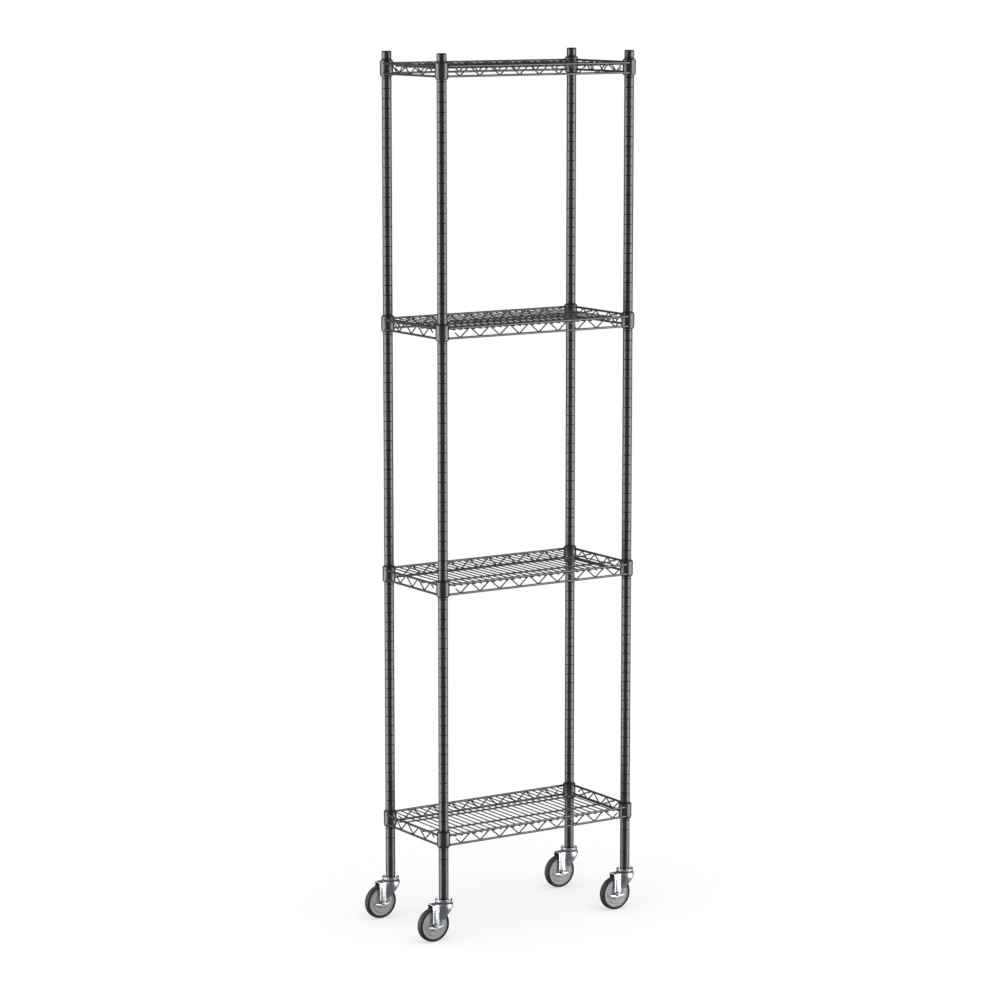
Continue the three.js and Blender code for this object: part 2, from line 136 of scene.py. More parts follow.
def add_node(
    tree: bpy.types.NodeTree,
    kind: str,
    settings: Mapping[str, Any] | None = None,
    inputs: Mapping[str | int, Any] | None = None,
) -> bpy.types.Node:
    """Add a node with its settings, socket values and links.

    Args:
        tree: The node tree that gets the node.
        kind: The node's type name.
        settings: Attributes of the node.
        inputs: For each input, a value or the output socket that feeds it.

    Returns:
        The new node.
    """
    made = tree.nodes.new(kind)
    for name, value in (settings or {}).items():
        setattr(made, name, value)
    for name, value in (inputs or {}).items():
        if isinstance(value, bpy.types.NodeSocket):
            tree.links.new(value, made.inputs[name])
        else:
            made.inputs[name].default_value = value
    return made


def reach_from_axis(
    tree: bpy.types.NodeTree, place: bpy.types.NodeSocket, flatten: tuple[float, float, float],
) -> bpy.types.NodeSocket:
    """Add nodes that give the distance from an axis.

    Args:
        tree: The material's node tree.
        place: Coordinates centred on the axis.
        flatten: One for each direction across the axis, zero for the one along it.

    Returns:
        The distance's socket, in metres.
    """
    flat = add_node(tree, "ShaderNodeVectorMath", {"operation": "MULTIPLY"}, {0: place, 1: flatten})
    length = add_node(tree, "ShaderNodeVectorMath", {"operation": "LENGTH"}, {0: flat.outputs["Vector"]})
    return length.outputs["Value"]


@dataclass(frozen=True)
class Finish:
    """A finish whose colour and gloss vary over the piece, with a fine relief."""

    name: str
    slot: Slot
    dark: str
    light: str
    mottle_size: float
    roughness: tuple[float, float]
    gloss_size: float
    relief_size: float
    relief_height: float
    metallic: float = 0.0
    specular: float = 0.5

    def noise(self, tree: bpy.types.NodeTree, place: bpy.types.NodeSocket, size: float,
              low: float, high: float) -> bpy.types.NodeSocket:
        """Add a noise with spots of a real size, spread over a range.

        Args:
            tree: The material's node tree.
            place: The coordinates that the noise reads.
            size: Size of a spot, in metres.
            low: Result where the noise is low.
            high: Result where the noise is high.

        Returns:
            The socket with the result.
        """
        spots = add_node(tree, "ShaderNodeTexNoise", inputs={
            "Vector": place, "Scale": 1 / size, "Detail": NOISE_DETAIL})
        spread = add_node(tree, "ShaderNodeMapRange", inputs={
            "Value": spots.outputs["Fac"], "From Min": NOISE_LOW, "From Max": NOISE_HIGH,
            "To Min": low, "To Max": high})
        return spread.outputs["Result"]

    def colour(self, tree: bpy.types.NodeTree, place: bpy.types.NodeSocket) -> bpy.types.NodeSocket:
        """Mottle the colour between the dark and the light one.

        Args:
            tree: The material's node tree.
            place: Object coordinates, centred on the piece where the finish needs that.

        Returns:
            The colour's socket.
        """
        share = self.noise(tree, place, self.mottle_size, 0.0, 1.0)
        mixed = add_node(tree, "ShaderNodeMix", {"data_type": "RGBA"}, {
            0: share, 6: linear(self.dark), 7: linear(self.light)})
        return mixed.outputs[2]

    def relief(self, tree: bpy.types.NodeTree, place: bpy.types.NodeSocket) -> bpy.types.NodeSocket:
        """Give the surface its fine relief.

        Args:
            tree: The material's node tree.
            place: Object coordinates, centred on the piece where the finish needs that.

        Returns:
            The height's socket, from 0 to 1.
        """
        return self.noise(tree, place, self.relief_size, 0.0, 1.0)

    def shine(self, tree: bpy.types.NodeTree, place: bpy.types.NodeSocket) -> float | bpy.types.NodeSocket:
        """Give the strength of the mirrored light, one value or a socket."""
        return self.specular

    def material(self, centre: Vector | None = None, suffix: str = "") -> bpy.types.Material:
        """Make the finish as a node material.

        Args:
            centre: The point that the pattern is centred on.
            suffix: Added to the material's name where a piece has its own copy.

        Returns:
            The material.
        """
        made = bpy.data.materials.new(self.name + suffix)
        made.use_nodes = True
        made.diffuse_color = linear(self.light)
        tree = made.node_tree
        tree.nodes.clear()
        place = add_node(tree, "ShaderNodeTexCoord").outputs["Object"]
        if centre is not None:
            place = add_node(tree, "ShaderNodeMapping", inputs={
                "Vector": place, "Location": -centre}).outputs["Vector"]
        bump = add_node(tree, "ShaderNodeBump", inputs={
            "Height": self.relief(tree, place), "Strength": 1.0, "Distance": self.relief_height})
        shader = add_node(tree, "ShaderNodeBsdfPrincipled", inputs={
            "Base Color": self.colour(tree, place),
            "Roughness": self.noise(tree, place, self.gloss_size, *self.roughness),
            "Metallic": self.metallic,
            "Specular IOR Level": self.shine(tree, place),
            "Normal": bump.outputs["Normal"],
        })
        add_node(tree, "ShaderNodeOutputMaterial", inputs={"Surface": shader.outputs["BSDF"]})
        return made


@dataclass(frozen=True)
class TurnedFinish(Finish):
    """A moulded finish with faint rings about the wheel's axle, left by the turned mould."""

    ring_pitch: float = 0.003
    ring_share: float = 0.35

    def relief(self, tree: bpy.types.NodeTree, place: bpy.types.NodeSocket) -> bpy.types.NodeSocket:
        """Add rings about the axle to the fine grain.

        Args:
            tree: The material's node tree.
            place: Object coordinates, centred on the wheel.

        Returns:
            The height's socket, from 0 to 1.
        """
        grain = super().relief(tree, place)
        rings = add_node(tree, "ShaderNodeTexWave", {
            "wave_type": "RINGS", "rings_direction": "Y", "wave_profile": "SIN",
        }, {"Vector": place, "Scale": WAVE_UNIT / self.ring_pitch, "Distortion": 0.0})
        both = add_node(tree, "ShaderNodeMix", {"data_type": "FLOAT"}, {
            0: self.ring_share, 2: grain, 3: rings.outputs["Fac"]})
        return both.outputs[0]


@dataclass(frozen=True)
class TyreFinish(Finish):
    """Rubber whose tread is scuffed paler than its sides."""

    tread: str = "#252627"
    tread_start: float = 0.0425
    tread_full: float = 0.0445
    least_wear: float = 0.55

    def colour(self, tree: bpy.types.NodeTree, place: bpy.types.NodeSocket) -> bpy.types.NodeSocket:
        """Mix the sides' colour into the scuffed tread by the distance from the axle.

        Args:
            tree: The material's node tree.
            place: Object coordinates, centred on the wheel.

        Returns:
            The colour's socket.
        """
        sides = super().colour(tree, place)
        worn = add_node(tree, "ShaderNodeMapRange", inputs={
            "Value": reach_from_axis(tree, place, (1.0, 0.0, 1.0)),
            "From Min": self.tread_start, "From Max": self.tread_full})
        patchy = add_node(tree, "ShaderNodeMath", {"operation": "MULTIPLY"}, {
            0: worn.outputs["Result"], 1: self.noise(tree, place, self.gloss_size, self.least_wear, 1.0)})
        mixed = add_node(tree, "ShaderNodeMix", {"data_type": "RGBA"}, {
            0: patchy.outputs["Value"], 6: sides, 7: linear(self.tread)})
        return mixed.outputs[2]


@dataclass(frozen=True)
class GroovedFinish(Finish):
    """A coat on a grooved post, with painted shade down in the grooves: a darker colour and a weaker
    reflection there.
    """

    # Painted shade: a near-black colour and a weak reflection down in the grooves.
    painted_groove_shade: str = "#080809"
    painted_groove_shade_specular: float = 0.2
    groove_edge: float = 0.01262
    groove_full: float = 0.0124

    def depth(self, tree: bpy.types.NodeTree, place: bpy.types.NodeSocket, shallow: float,
              deep: float) -> bpy.types.NodeSocket:
        """Blend two values by the depth in a groove.

        Args:
            tree: The material's node tree.
            place: Object coordinates, centred on the post.
            shallow: Result on the post's outside.
            deep: Result down in a groove.

        Returns:
            The socket with the result.
        """
        return add_node(tree, "ShaderNodeMapRange", inputs={
            "Value": reach_from_axis(tree, place, (1.0, 1.0, 0.0)),
            "From Min": self.groove_edge, "From Max": self.groove_full,
            "To Min": shallow, "To Max": deep}).outputs["Result"]

    def colour(self, tree: bpy.types.NodeTree, place: bpy.types.NodeSocket) -> bpy.types.NodeSocket:
        """Paint shade into the coat down in the grooves.

        Args:
            tree: The material's node tree.
            place: Object coordinates, centred on the post.

        Returns:
            The colour's socket.
        """
        # Painted shade: a near-black mixed into the coat down in the grooves.
        mixed = add_node(tree, "ShaderNodeMix", {"data_type": "RGBA"}, {
            0: self.depth(tree, place, 0.0, 1.0), 6: super().colour(tree, place), 7: linear(self.painted_groove_shade)})
        return mixed.outputs[2]

    def shine(self, tree: bpy.types.NodeTree, place: bpy.types.NodeSocket) -> bpy.types.NodeSocket:
        """Weaken the coat's reflection down in the grooves, as painted shade."""
        return self.depth(tree, place, self.specular, self.painted_groove_shade_specular)


# Epoxy powder, sprayed and baked on steel: deep black with a soft gloss and a slight orange peel.
EPOXY: dict[str, Any] = {
    "slot": Slot.EPOXY, "dark": "#131415", "light": "#1d1e20", "mottle_size": 0.05,
    "roughness": (0.24, 0.34), "gloss_size": 0.012, "relief_size": 0.0022, "relief_height": 0.00002,
    "specular": 0.65}
EPOXY_COAT = Finish("baked_epoxy_powder_coat", **EPOXY)
# The same coat on the posts, with painted shade darkening the grooves.
POST_COAT = GroovedFinish("baked_epoxy_post_coat", **EPOXY)
# Injection-moulded nylon: matt black with a fine spark-eroded grain.
BLACK_NYLON = Finish(
    "black_moulded_nylon", Slot.BLACK_PLASTIC, dark="#060607", light="#0b0b0c", mottle_size=0.015,
    roughness=(0.55, 0.66), gloss_size=0.006, relief_size=0.0008, relief_height=0.00003, specular=0.3)
# Bright zinc electroplate on pressed steel: a bright, slightly clouded metal with soft dents.
ZINC_PLATE = Finish(
    "bright_zinc_plate", Slot.ZINC, dark="#9fa2a7", light="#babdc1", mottle_size=0.010,
    roughness=(0.34, 0.42), gloss_size=0.007, relief_size=0.006, relief_height=0.00001, metallic=1.0)
# Glass-filled polypropylene, moulded in a turned tool: satin mid grey with faint rings.
WHEEL_PLASTIC = TurnedFinish(
    "grey_moulded_polypropylene", Slot.WHEEL_PLASTIC, dark="#696b6d", light="#77797b", mottle_size=0.012,
    roughness=(0.42, 0.52), gloss_size=0.006, relief_size=0.0012, relief_height=0.00016)
# Thermoplastic rubber: dark grey, dull, with a tread scuffed paler by the floor.
TYRE_RUBBER = TyreFinish(
    "moulded_grey_rubber", Slot.RUBBER, dark="#0a0a0b", light="#121213", mottle_size=0.008,
    roughness=(0.50, 0.64), gloss_size=0.009, relief_size=0.0009, relief_height=0.00005, specular=0.3)


# ------------------------------------------------------------------------------ mesh tools
def spun(profile: Profile, steps: int = ROUND_STEPS, closed: bool = True, angle: float = FULL_TURN,
         start: float = 0.0) -> bmesh.types.BMesh:
    """Turn a profile about the Z axis.

    Args:
        profile: Points as radius and height.
        steps: Facets round the turn.
        closed: True for a ring's profile, False for one that starts and ends on the axis.
        angle: How far the profile is turned; less than a full turn gives a solid with two end faces.
        start: Where round the axis the turn starts.

    Returns:
        The turned shape, with its faces pointing outwards.
    """
    shape = bmesh.new()
    verts = [shape.verts.new((radius, 0.0, height)) for radius, height in profile]
    full = angle == FULL_TURN
    if full:
        pairs = list(zip(verts, verts[1:])) + ([(verts[-1], verts[0])] if closed else [])
        section = [*verts, *(shape.edges.new(pair) for pair in pairs)]
    else:
        section = [shape.faces.new(verts)]
    bmesh.ops.spin(shape, geom=section, cent=(0, 0, 0), axis=(0, 0, 1), dvec=(0, 0, 0), angle=angle,
                   steps=steps, use_merge=full, use_duplicate=False)
    bmesh.ops.remove_doubles(shape, verts=shape.verts, dist=SAME_POINT)
    bmesh.ops.rotate(shape, verts=shape.verts, cent=(0, 0, 0), matrix=Matrix.Rotation(start, 3, "Z"))
    bmesh.ops.recalc_face_normals(shape, faces=shape.faces)
    return shape


def rod(radius: float, low: float, high: float, steps: int) -> bmesh.types.BMesh:
    """Turn a plain round rod about the Z axis.

    Args:
        radius: Its radius.
        low: Height of its lower end.
        high: Height of its upper end.
        steps: Facets round it.

    Returns:
        The rod.
    """
    return spun([(0.0, low), (radius, low), (radius, high), (0.0, high)], steps, closed=False)


def across(shape: bmesh.types.BMesh) -> bmesh.types.BMesh:
    """Lay a shape turned about Z along Y, its top towards +Y."""
    bmesh.ops.rotate(shape, verts=shape.verts, cent=(0, 0, 0), matrix=Matrix.Rotation(-QUARTER_TURN, 3, "X"))
    return shape


def moved(shape: bmesh.types.BMesh, offset: Vector) -> bmesh.types.BMesh:
    """Shift a shape."""
    bmesh.ops.translate(shape, verts=shape.verts, vec=offset)
    return shape


def absorb(target: bmesh.types.BMesh, *shapes: bmesh.types.BMesh) -> bmesh.types.BMesh:
    """Put shapes into one mesh and free them.

    Args:
        target: The shape that takes the others in.
        shapes: The shapes that are taken in.

    Returns:
        The target.
    """
    for shape in shapes:
        carrier = bpy.data.meshes.new("carrier")
        shape.to_mesh(carrier)
        shape.free()
        target.from_mesh(carrier)
        bpy.data.meshes.remove(carrier)
    return target


def rounded(corners: Profile, radius: float, steps: int = 3) -> list[tuple[float, float]]:
    """Round the inner corners of a profile, leaving its first and last point.

    Args:
        corners: Points of the profile.
        radius: Radius of the rounding, limited by the room between corners.
        steps: Arc steps at each corner.

    Returns:
        The rounded profile.
    """
    flat = bent([Vector((a, b, 0.0)) for a, b in corners], radius, steps)
    return [(point.x, point.y) for point in flat]


def bent(corners: Sequence[Vector], radius: float, steps: int = 4) -> list[Vector]:
    """Bend a route round its inner corners.

    Args:
        corners: The route's corners.
        radius: Bend radius, limited by the room between corners.
        steps: Arc steps at each bend.

    Returns:
        Points along the bent route.
    """
    route = [corners[0].copy()]
    for before, corner, after in zip(corners, corners[1:], corners[2:]):
        into, out = (corner - before).normalized(), (after - corner).normalized()
        turn = into.angle(out, 0.0)
        if turn < STRAIGHT:
            route.append(corner.copy())
            continue
        room = BEND_ROOM * min((corner - before).length, (after - corner).length)
        setback = min(radius * math.tan(turn / 2), room)
        fitted = setback / math.tan(turn / 2)
        centre = corner + (out - into).normalized() * (fitted / math.cos(turn / 2))
        first = corner - into * setback - centre
        axis = into.cross(out).normalized()
        route += [centre + Matrix.Rotation(turn * i / steps, 3, axis) @ first for i in range(steps + 1)]
    return [*route, corners[-1].copy()]


@dataclass(frozen=True)
class Wire:
    """A round wire along a route, with its sheared ends slightly drawn in."""

    route: Sequence[Vector]
    radius: float
    draw_length: float = 0.25
    end_share: float = 0.72

    def points(self) -> list[tuple[Vector, float]]:
        """List the wire's points.

        Returns:
            Each point with the wire's radius there.
        """
        draw, narrow = self.draw_length * self.radius, self.end_share * self.radius
        first, last = self.route[0], self.route[-1]
        lead = first.lerp(self.route[1], draw / (self.route[1] - first).length)
        tail = last.lerp(self.route[-2], draw / (self.route[-2] - last).length)
        middle = [(point, self.radius) for point in (lead, *self.route[1:-1], tail)]
        return [(first, narrow), *middle, (last, narrow)]


def drawn(wires: Sequence[Wire], sides_level: int = 3) -> bmesh.types.BMesh:
    """Make wires as round solids.

    Args:
        wires: The wires.
        sides_level: Bevel resolution of the section; a wire has 4 sides and 2 more for each level.

    Returns:
        All the wires in one mesh.
    """
    curve = bpy.data.curves.new("wires", "CURVE")
    curve.dimensions = "3D"
    curve.bevel_mode = "ROUND"
    curve.bevel_depth = 1.0
    curve.bevel_resolution = sides_level
    curve.use_fill_caps = True
    for wire in wires:
        spline = curve.splines.new("POLY")
        points = wire.points()
        spline.points.add(len(points) - 1)
        for target, (place, radius) in zip(spline.points, points):
            target.co = (*place, 1.0)
            target.radius = radius
    carrier = bpy.data.objects.new("wires", curve)
    mesh = bpy.data.meshes.new_from_object(carrier)
    shape = bmesh.new()
    shape.from_mesh(mesh)
    bmesh.ops.remove_doubles(shape, verts=shape.verts, dist=SAME_POINT)
    bmesh.ops.recalc_face_normals(shape, faces=shape.faces)
    bpy.data.objects.remove(carrier)
    bpy.data.curves.remove(curve)
    bpy.data.meshes.remove(mesh)
    return shape


def add_bead(shape: bmesh.types.BMesh, place: Vector, radii: Vector) -> None:
    """Add a weld bead to a shape.

    Args:
        shape: The shape that gets the bead.
        place: The bead's middle.
        radii: Its half sizes along X, Y and Z.
    """
    bmesh.ops.create_icosphere(
        shape, subdivisions=2, radius=1.0, matrix=Matrix.Translation(place) @ Matrix.Diagonal((*radii, 1.0)))


def plate(outline: Profile, inner: float, outer: float, edge: float) -> bmesh.types.BMesh:
    """Give an outline in the X-Z plane thickness along Y, with its outer edge rounded.

    Args:
        outline: Points as x and z.
        inner: Y of the flat side.
        outer: Y of the side with the rounded edge.
        edge: Radius of that edge.

    Returns:
        The plate.
    """
    shape = bmesh.new()
    face = shape.faces.new([shape.verts.new((x, inner, z)) for x, z in outline])
    made = bmesh.ops.extrude_face_region(shape, geom=[face])["geom"]
    raised = [item for item in made if isinstance(item, bmesh.types.BMVert)]
    bmesh.ops.translate(shape, verts=raised, vec=(0, outer - inner, 0))
    rim = [item for item in shape.edges if all(abs(vert.co.y - outer) < SAME_POINT for vert in item.verts)]
    bmesh.ops.bevel(shape, geom=rim, offset=edge, offset_type="OFFSET", segments=3, profile=0.5,
                    affect="EDGES", material=-1, clamp_overlap=True)
    bmesh.ops.recalc_face_normals(shape, faces=shape.faces)
    return shape


def arc(centre: tuple[float, float], radii: tuple[float, float], start: float, end: float,
        steps: int) -> list[tuple[float, float]]:
    """List points along an ellipse's arc.

    Args:
        centre: The ellipse's centre.
        radii: Its two half axes.
        start: First angle, in degrees.
        end: Last angle, in degrees.
        steps: Steps between them.

    Returns:
        The points.
    """
    turns = [math.radians(start + (end - start) * i / steps) for i in range(steps + 1)]
    return [(centre[0] + radii[0] * math.cos(t), centre[1] + radii[1] * math.sin(t)) for t in turns]


def add_piece(name: str, shape: bmesh.types.BMesh, material: bpy.types.Material, slot: Slot, body: str,
              *nodes: str) -> bpy.types.Object:
    """Make a piece that rides on a body and stands for CAD nodes.

    Args:
        name: The piece's name.
        shape: Its mesh, in place; it is freed.
        material: Its finish.
        slot: The record's material slot of that finish; not used.
        body: The body that it rides on.
        nodes: The CAD nodes that it stands for.

    Returns:
        The piece.
    """
    mesh = bpy.data.meshes.new(name)
    for face in shape.faces:
        face.smooth = True
    shape.to_mesh(mesh)
    shape.free()
    mesh.set_sharp_from_angle(angle=SHARP_ANGLE)
    piece = bpy.data.objects.new(name, mesh)
    bpy.context.scene.collection.objects.link(piece)
    piece.data.materials.append(material)
    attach(piece, body)
    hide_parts(*nodes)
    LOG.info("%s: %d faces on %s", name, len(mesh.polygons), body)
    return piece


def add_modifier(piece: bpy.types.Object, kind: str, **settings: Any) -> None:
    """Add a modifier to a piece.

    Args:
        piece: The piece.
        kind: The modifier's type name.
        settings: Its settings.
    """
    modifier = piece.modifiers.new(kind.title(), kind)
    for name, value in settings.items():
        setattr(modifier, name, value)


def finished(shape: bmesh.types.BMesh, *modifiers: tuple[str, dict[str, Any]]) -> bmesh.types.BMesh:
    """Apply modifiers to a shape.

    Args:
        shape: The shape; it is freed.
        modifiers: Each modifier's type name and settings.

    Returns:
        The shape as the modifiers leave it.
    """
    mesh = bpy.data.meshes.new("blank")
    shape.to_mesh(mesh)
    shape.free()
    blank = bpy.data.objects.new("blank", mesh)
    bpy.context.scene.collection.objects.link(blank)
    for kind, settings in modifiers:
        add_modifier(blank, kind, **settings)
    depsgraph = bpy.context.evaluated_depsgraph_get()
    result = bmesh.new()
    result.from_object(blank, depsgraph)
    bpy.data.objects.remove(blank)
    bpy.data.meshes.remove(mesh)
    return result


def cutter(shape: bmesh.types.BMesh) -> bpy.types.Object:
    """Make a hidden object that cuts a hole.

    Args:
        shape: The hole's shape; it is freed.

    Returns:
        The object.
    """
    mesh = bpy.data.meshes.new("cutter")
    shape.to_mesh(mesh)
    shape.free()
    tool = bpy.data.objects.new("cutter", mesh)
    bpy.context.scene.collection.objects.link(tool)
    return tool


def centre_of(node: str) -> Vector:
    """Give the middle of a CAD node's box."""
    low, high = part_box(node)
    return (low + high) / 2


# ------------------------------------------------------------------------------ posts
@dataclass
class Post:
    """A round tube post with ring grooves at a regular pitch, and its moulded cap."""

    corner: Corner
    wall: float = 0.0013
    groove_pitch: float = INCH
    first_groove: float = 0.107
    groove_half_width: float = 0.0010
    groove_floor: float = 0.0002
    groove_depth: float = 0.0007
    end_margin: float = 0.004
    foot_chamfer: float = 0.0004
    cap_edge: float = 0.0011
    cap_crown: float = 0.0006
    cap_middle_drop: float = 0.0001
    plug_play: float = 0.0004
    plug_chamfer: float = 0.001

    @property
    def node(self) -> str:
        """Name the CAD node of the tube."""
        return f"post_{self.corner.value}"

    def tube(self) -> bmesh.types.BMesh:
        """Turn the grooved tube.

        Returns:
            The tube, about its own axis.
        """
        low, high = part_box(self.node)
        radius = (high.x - low.x) / 2
        floor = radius - self.groove_depth
        outside = [(radius - self.foot_chamfer, low.z), (radius, low.z + self.foot_chamfer)]
        height = low.z + self.first_groove
        while height < high.z - self.end_margin:
            outside += [
                (radius, height - self.groove_half_width),
                (floor, height - self.groove_floor),
                (floor, height + self.groove_floor),
                (radius, height + self.groove_half_width),
            ]
            height += self.groove_pitch
        bore = radius - self.wall - self.groove_depth
        return spun([*outside, (radius, high.z), (bore, high.z), (bore, low.z)], POST_STEPS)

    def cap(self) -> bmesh.types.BMesh:
        """Turn the cap: a crowned head over a plug.

        Returns:
            The cap, about its own axis.
        """
        low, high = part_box(f"cap_{self.corner.value}")
        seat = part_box(self.node)[1].z + CLEARANCE
        radius = (high.x - low.x) / 2
        plug = radius - self.wall - self.groove_depth - self.plug_play
        head = rounded([
            (radius, seat), (radius, high.z - self.cap_crown), (radius / 2, high.z - self.cap_middle_drop),
            (0.0, high.z)], self.cap_edge)
        return spun([(0.0, low.z), (plug - self.plug_chamfer, low.z), (plug, low.z + self.plug_chamfer),
                     (plug, seat), *head], closed=False)

    def build(self, plastic: bpy.types.Material) -> None:
        """Make the tube and the cap in place.

        Args:
            plastic: Finish of the cap.
        """
        middle = centre_of(self.node)
        place = Vector((middle.x, middle.y, 0.0))
        name = self.corner.value
        epoxy = POST_COAT.material(place, f"_{name}")
        add_piece(f"grooved_tube_{name}", moved(self.tube(), place), epoxy, Slot.EPOXY, "root", self.node)
        add_piece(f"post_cap_{name}", moved(self.cap(), place), plastic, Slot.BLACK_PLASTIC, "root",
                  f"cap_{name}")


# ------------------------------------------------------------------------------ shelves
@dataclass
class Shelf:
    """A welded wire shelf with a collar at each corner, and the split sleeves in the collars."""

    level: int
    collar_radius: float = 0.01725
    collar_lip: float = 0.0078
    collar_foot_radius: float = 0.0139
    collar_bore_top: float = 0.01455
    collar_bore_bottom: float = 0.0131
    collar_edge: float = 0.0006
    lip_degrees: float = -80
    lip_steps: int = 5
    sleeve_slit: float = 0.0016
    sleeve_play: float = 0.00015
    sleeve_low_spread: float = 0.0006
    sleeve_edge: float = 0.0005
    frame_radius: float = 0.003
    snake_radius: float = 0.0018
    deck_radius: float = 0.0015
    support_radius: float = 0.0022
    top_wire_drop: float = 0.0075
    truss_height: float = INCH
    frame_offset: float = 0.015
    frame_setback: float = 0.010
    deck_overhang: float = 0.004
    deck_pitch: float = 0.020
    deck_margin: float = 0.027
    snake_pitch: float = 0.060
    snake_margin: float = 0.044
    snake_bend: float = 0.0045
    support_spacing: float = 0.116
    support_overhang: float = 0.003
    support_start: float = 0.004
    support_slope: float = 1.6
    support_bend: float = 0.004
    sink: float = 0.0003
    collar_bead: Vector = field(default_factory=lambda: Vector((0.0026, 0.0026, 0.0030)))
    collar_bead_reach: float = 0.0012
    spot_spread: float = 1.1
    spot_rise: float = 0.55
    fillet_share: float = 0.8
    fillet_depth: float = 0.0011
    fillet_rise: float = 0.0014

    def __post_init__(self) -> None:
        """Take the shelf's places from the frame."""
        corners = [centre_of(f"post_{corner.value}") for corner in Corner]
        self.half_x = (max(p.x for p in corners) - min(p.x for p in corners)) / 2
        self.half_y = (max(p.y for p in corners) - min(p.y for p in corners)) / 2
        self.middle_x = sum(p.x for p in corners) / len(corners)
        low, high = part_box(f"shelf_{self.level}")
        self.top = high.z
        self.collar_height = high.z - low.z
        self.upper = -self.top_wire_drop
        self.lower = self.upper - self.truss_height
        self.deck = self.upper - self.frame_radius - self.deck_radius + self.sink
        self.support = self.deck - self.deck_radius - self.support_radius + self.sink
        self.snake_offset = self.frame_offset - self.frame_radius - self.snake_radius + self.sink

    def collar(self) -> bmesh.types.BMesh:
        """Turn a collar: straight sided, drawn in at its lower end, with a tapered bore.

        Returns:
            The collar, its top at height zero.
        """
        lip = -self.collar_height + self.collar_lip
        curve = (self.collar_radius - self.collar_foot_radius, self.collar_lip - self.collar_edge)
        drawn_in = arc((self.collar_foot_radius, lip), curve, 0, self.lip_degrees, self.lip_steps)
        outside = [(self.collar_radius - self.collar_edge, 0.0), (self.collar_radius, -self.collar_edge),
                   *drawn_in, (self.collar_foot_radius, -self.collar_height)]
        inside = [(self.collar_bore_bottom, -self.collar_height), (self.collar_bore_top, 0.0)]
        return spun([*outside, *inside])

    def frame_wires(self) -> list[Wire]:
        """List the straight wires round the shelf, an upper and a lower one on each side.

        Returns:
            The wires.
        """
        end_x, end_y = self.half_x - self.frame_setback, self.half_y - self.frame_setback
        out_x, out_y = self.half_x + self.frame_offset, self.half_y + self.frame_offset
        wires = []
        for height in (self.upper, self.lower):
            for side in (-1, 1):
                along = [Vector((end * end_x, side * out_y, height)) for end in (-1, 1)]
                athwart = [Vector((side * out_x, end * end_y, height)) for end in (-1, 1)]
                wires += [Wire(along, self.frame_radius), Wire(athwart, self.frame_radius)]
        return wires

    def snake_corners(self, half: float, ends_high: bool) -> list[tuple[float, float]]:
        """List the bends of a snake wire: full bends at the pitch, then a half leg at each end.

        Args:
            half: Half the distance between the posts along this side.
            ends_high: True if the outermost bends are at the upper frame wire.

        Returns:
            Each corner's place along the side and its height.
        """
        bends = math.floor((2 * half - 2 * self.snake_margin) / self.snake_pitch)
        first = -bends * self.snake_pitch / 2
        heights = (self.upper, self.lower) if ends_high else (self.lower, self.upper)
        corners = [(first + i * self.snake_pitch / 2, heights[i % 2]) for i in range(2 * bends + 1)]
        middle = (self.upper + self.lower) / 2
        quarter = self.snake_pitch / 4
        return [(first - quarter, middle), *corners, (-first + quarter, middle)]

    def snake_wires(self) -> list[Wire]:
        """List the zigzag wires between the upper and lower frame wires, one on each side.

        Returns:
            The wires.
        """
        wires = []
        for side in (-1, 1):
            y = side * (self.half_y + self.snake_offset)
            x = side * (self.half_x + self.snake_offset)
            along = [Vector((s, y, z)) for s, z in self.snake_corners(self.half_x, False)]
            athwart = [Vector((x, s, z)) for s, z in self.snake_corners(self.half_y, True)]
            wires.append(Wire(bent(along, self.snake_bend), self.snake_radius))
            wires.append(Wire(bent(athwart, self.snake_bend), self.snake_radius))
        return wires

    def deck_places(self) -> list[float]:
        """List the deck wires' places along X."""
        pitches = math.floor((2 * self.half_x - 2 * self.deck_margin) / self.deck_pitch)
        return [(i - pitches / 2) * self.deck_pitch for i in range(pitches + 1)]

    def deck_wires(self) -> list[Wire]:
        """List the deck wires, which pass under the upper frame wires with their ends showing.

        Returns:
            The wires.
        """
        end = self.half_y + self.frame_offset + self.deck_overhang
        return [Wire([Vector((x, -end, self.deck)), Vector((x, end, self.deck))], self.deck_radius)
                for x in self.deck_places()]

    def support_wires(self) -> list[Wire]:
        """List the lengthwise wires under the deck, which rise at their ends to the side wires.

        Returns:
            The wires.
        """
        end = self.half_x + self.frame_offset + self.support_overhang
        hook = self.upper - self.frame_radius - self.support_radius + self.sink
        start = self.half_x - self.support_start
        run = (hook - self.support) * self.support_slope
        wires = []
        for side in (-1, 1):
            y = side * self.support_spacing / 2
            corners = [(-end, hook), (-start - run, hook), (-start, self.support), (start, self.support),
                       (start + run, hook), (end, hook)]
            route = bent([Vector((x, y, z)) for x, z in corners], self.support_bend)
            wires.append(Wire(route, self.support_radius))
        return wires

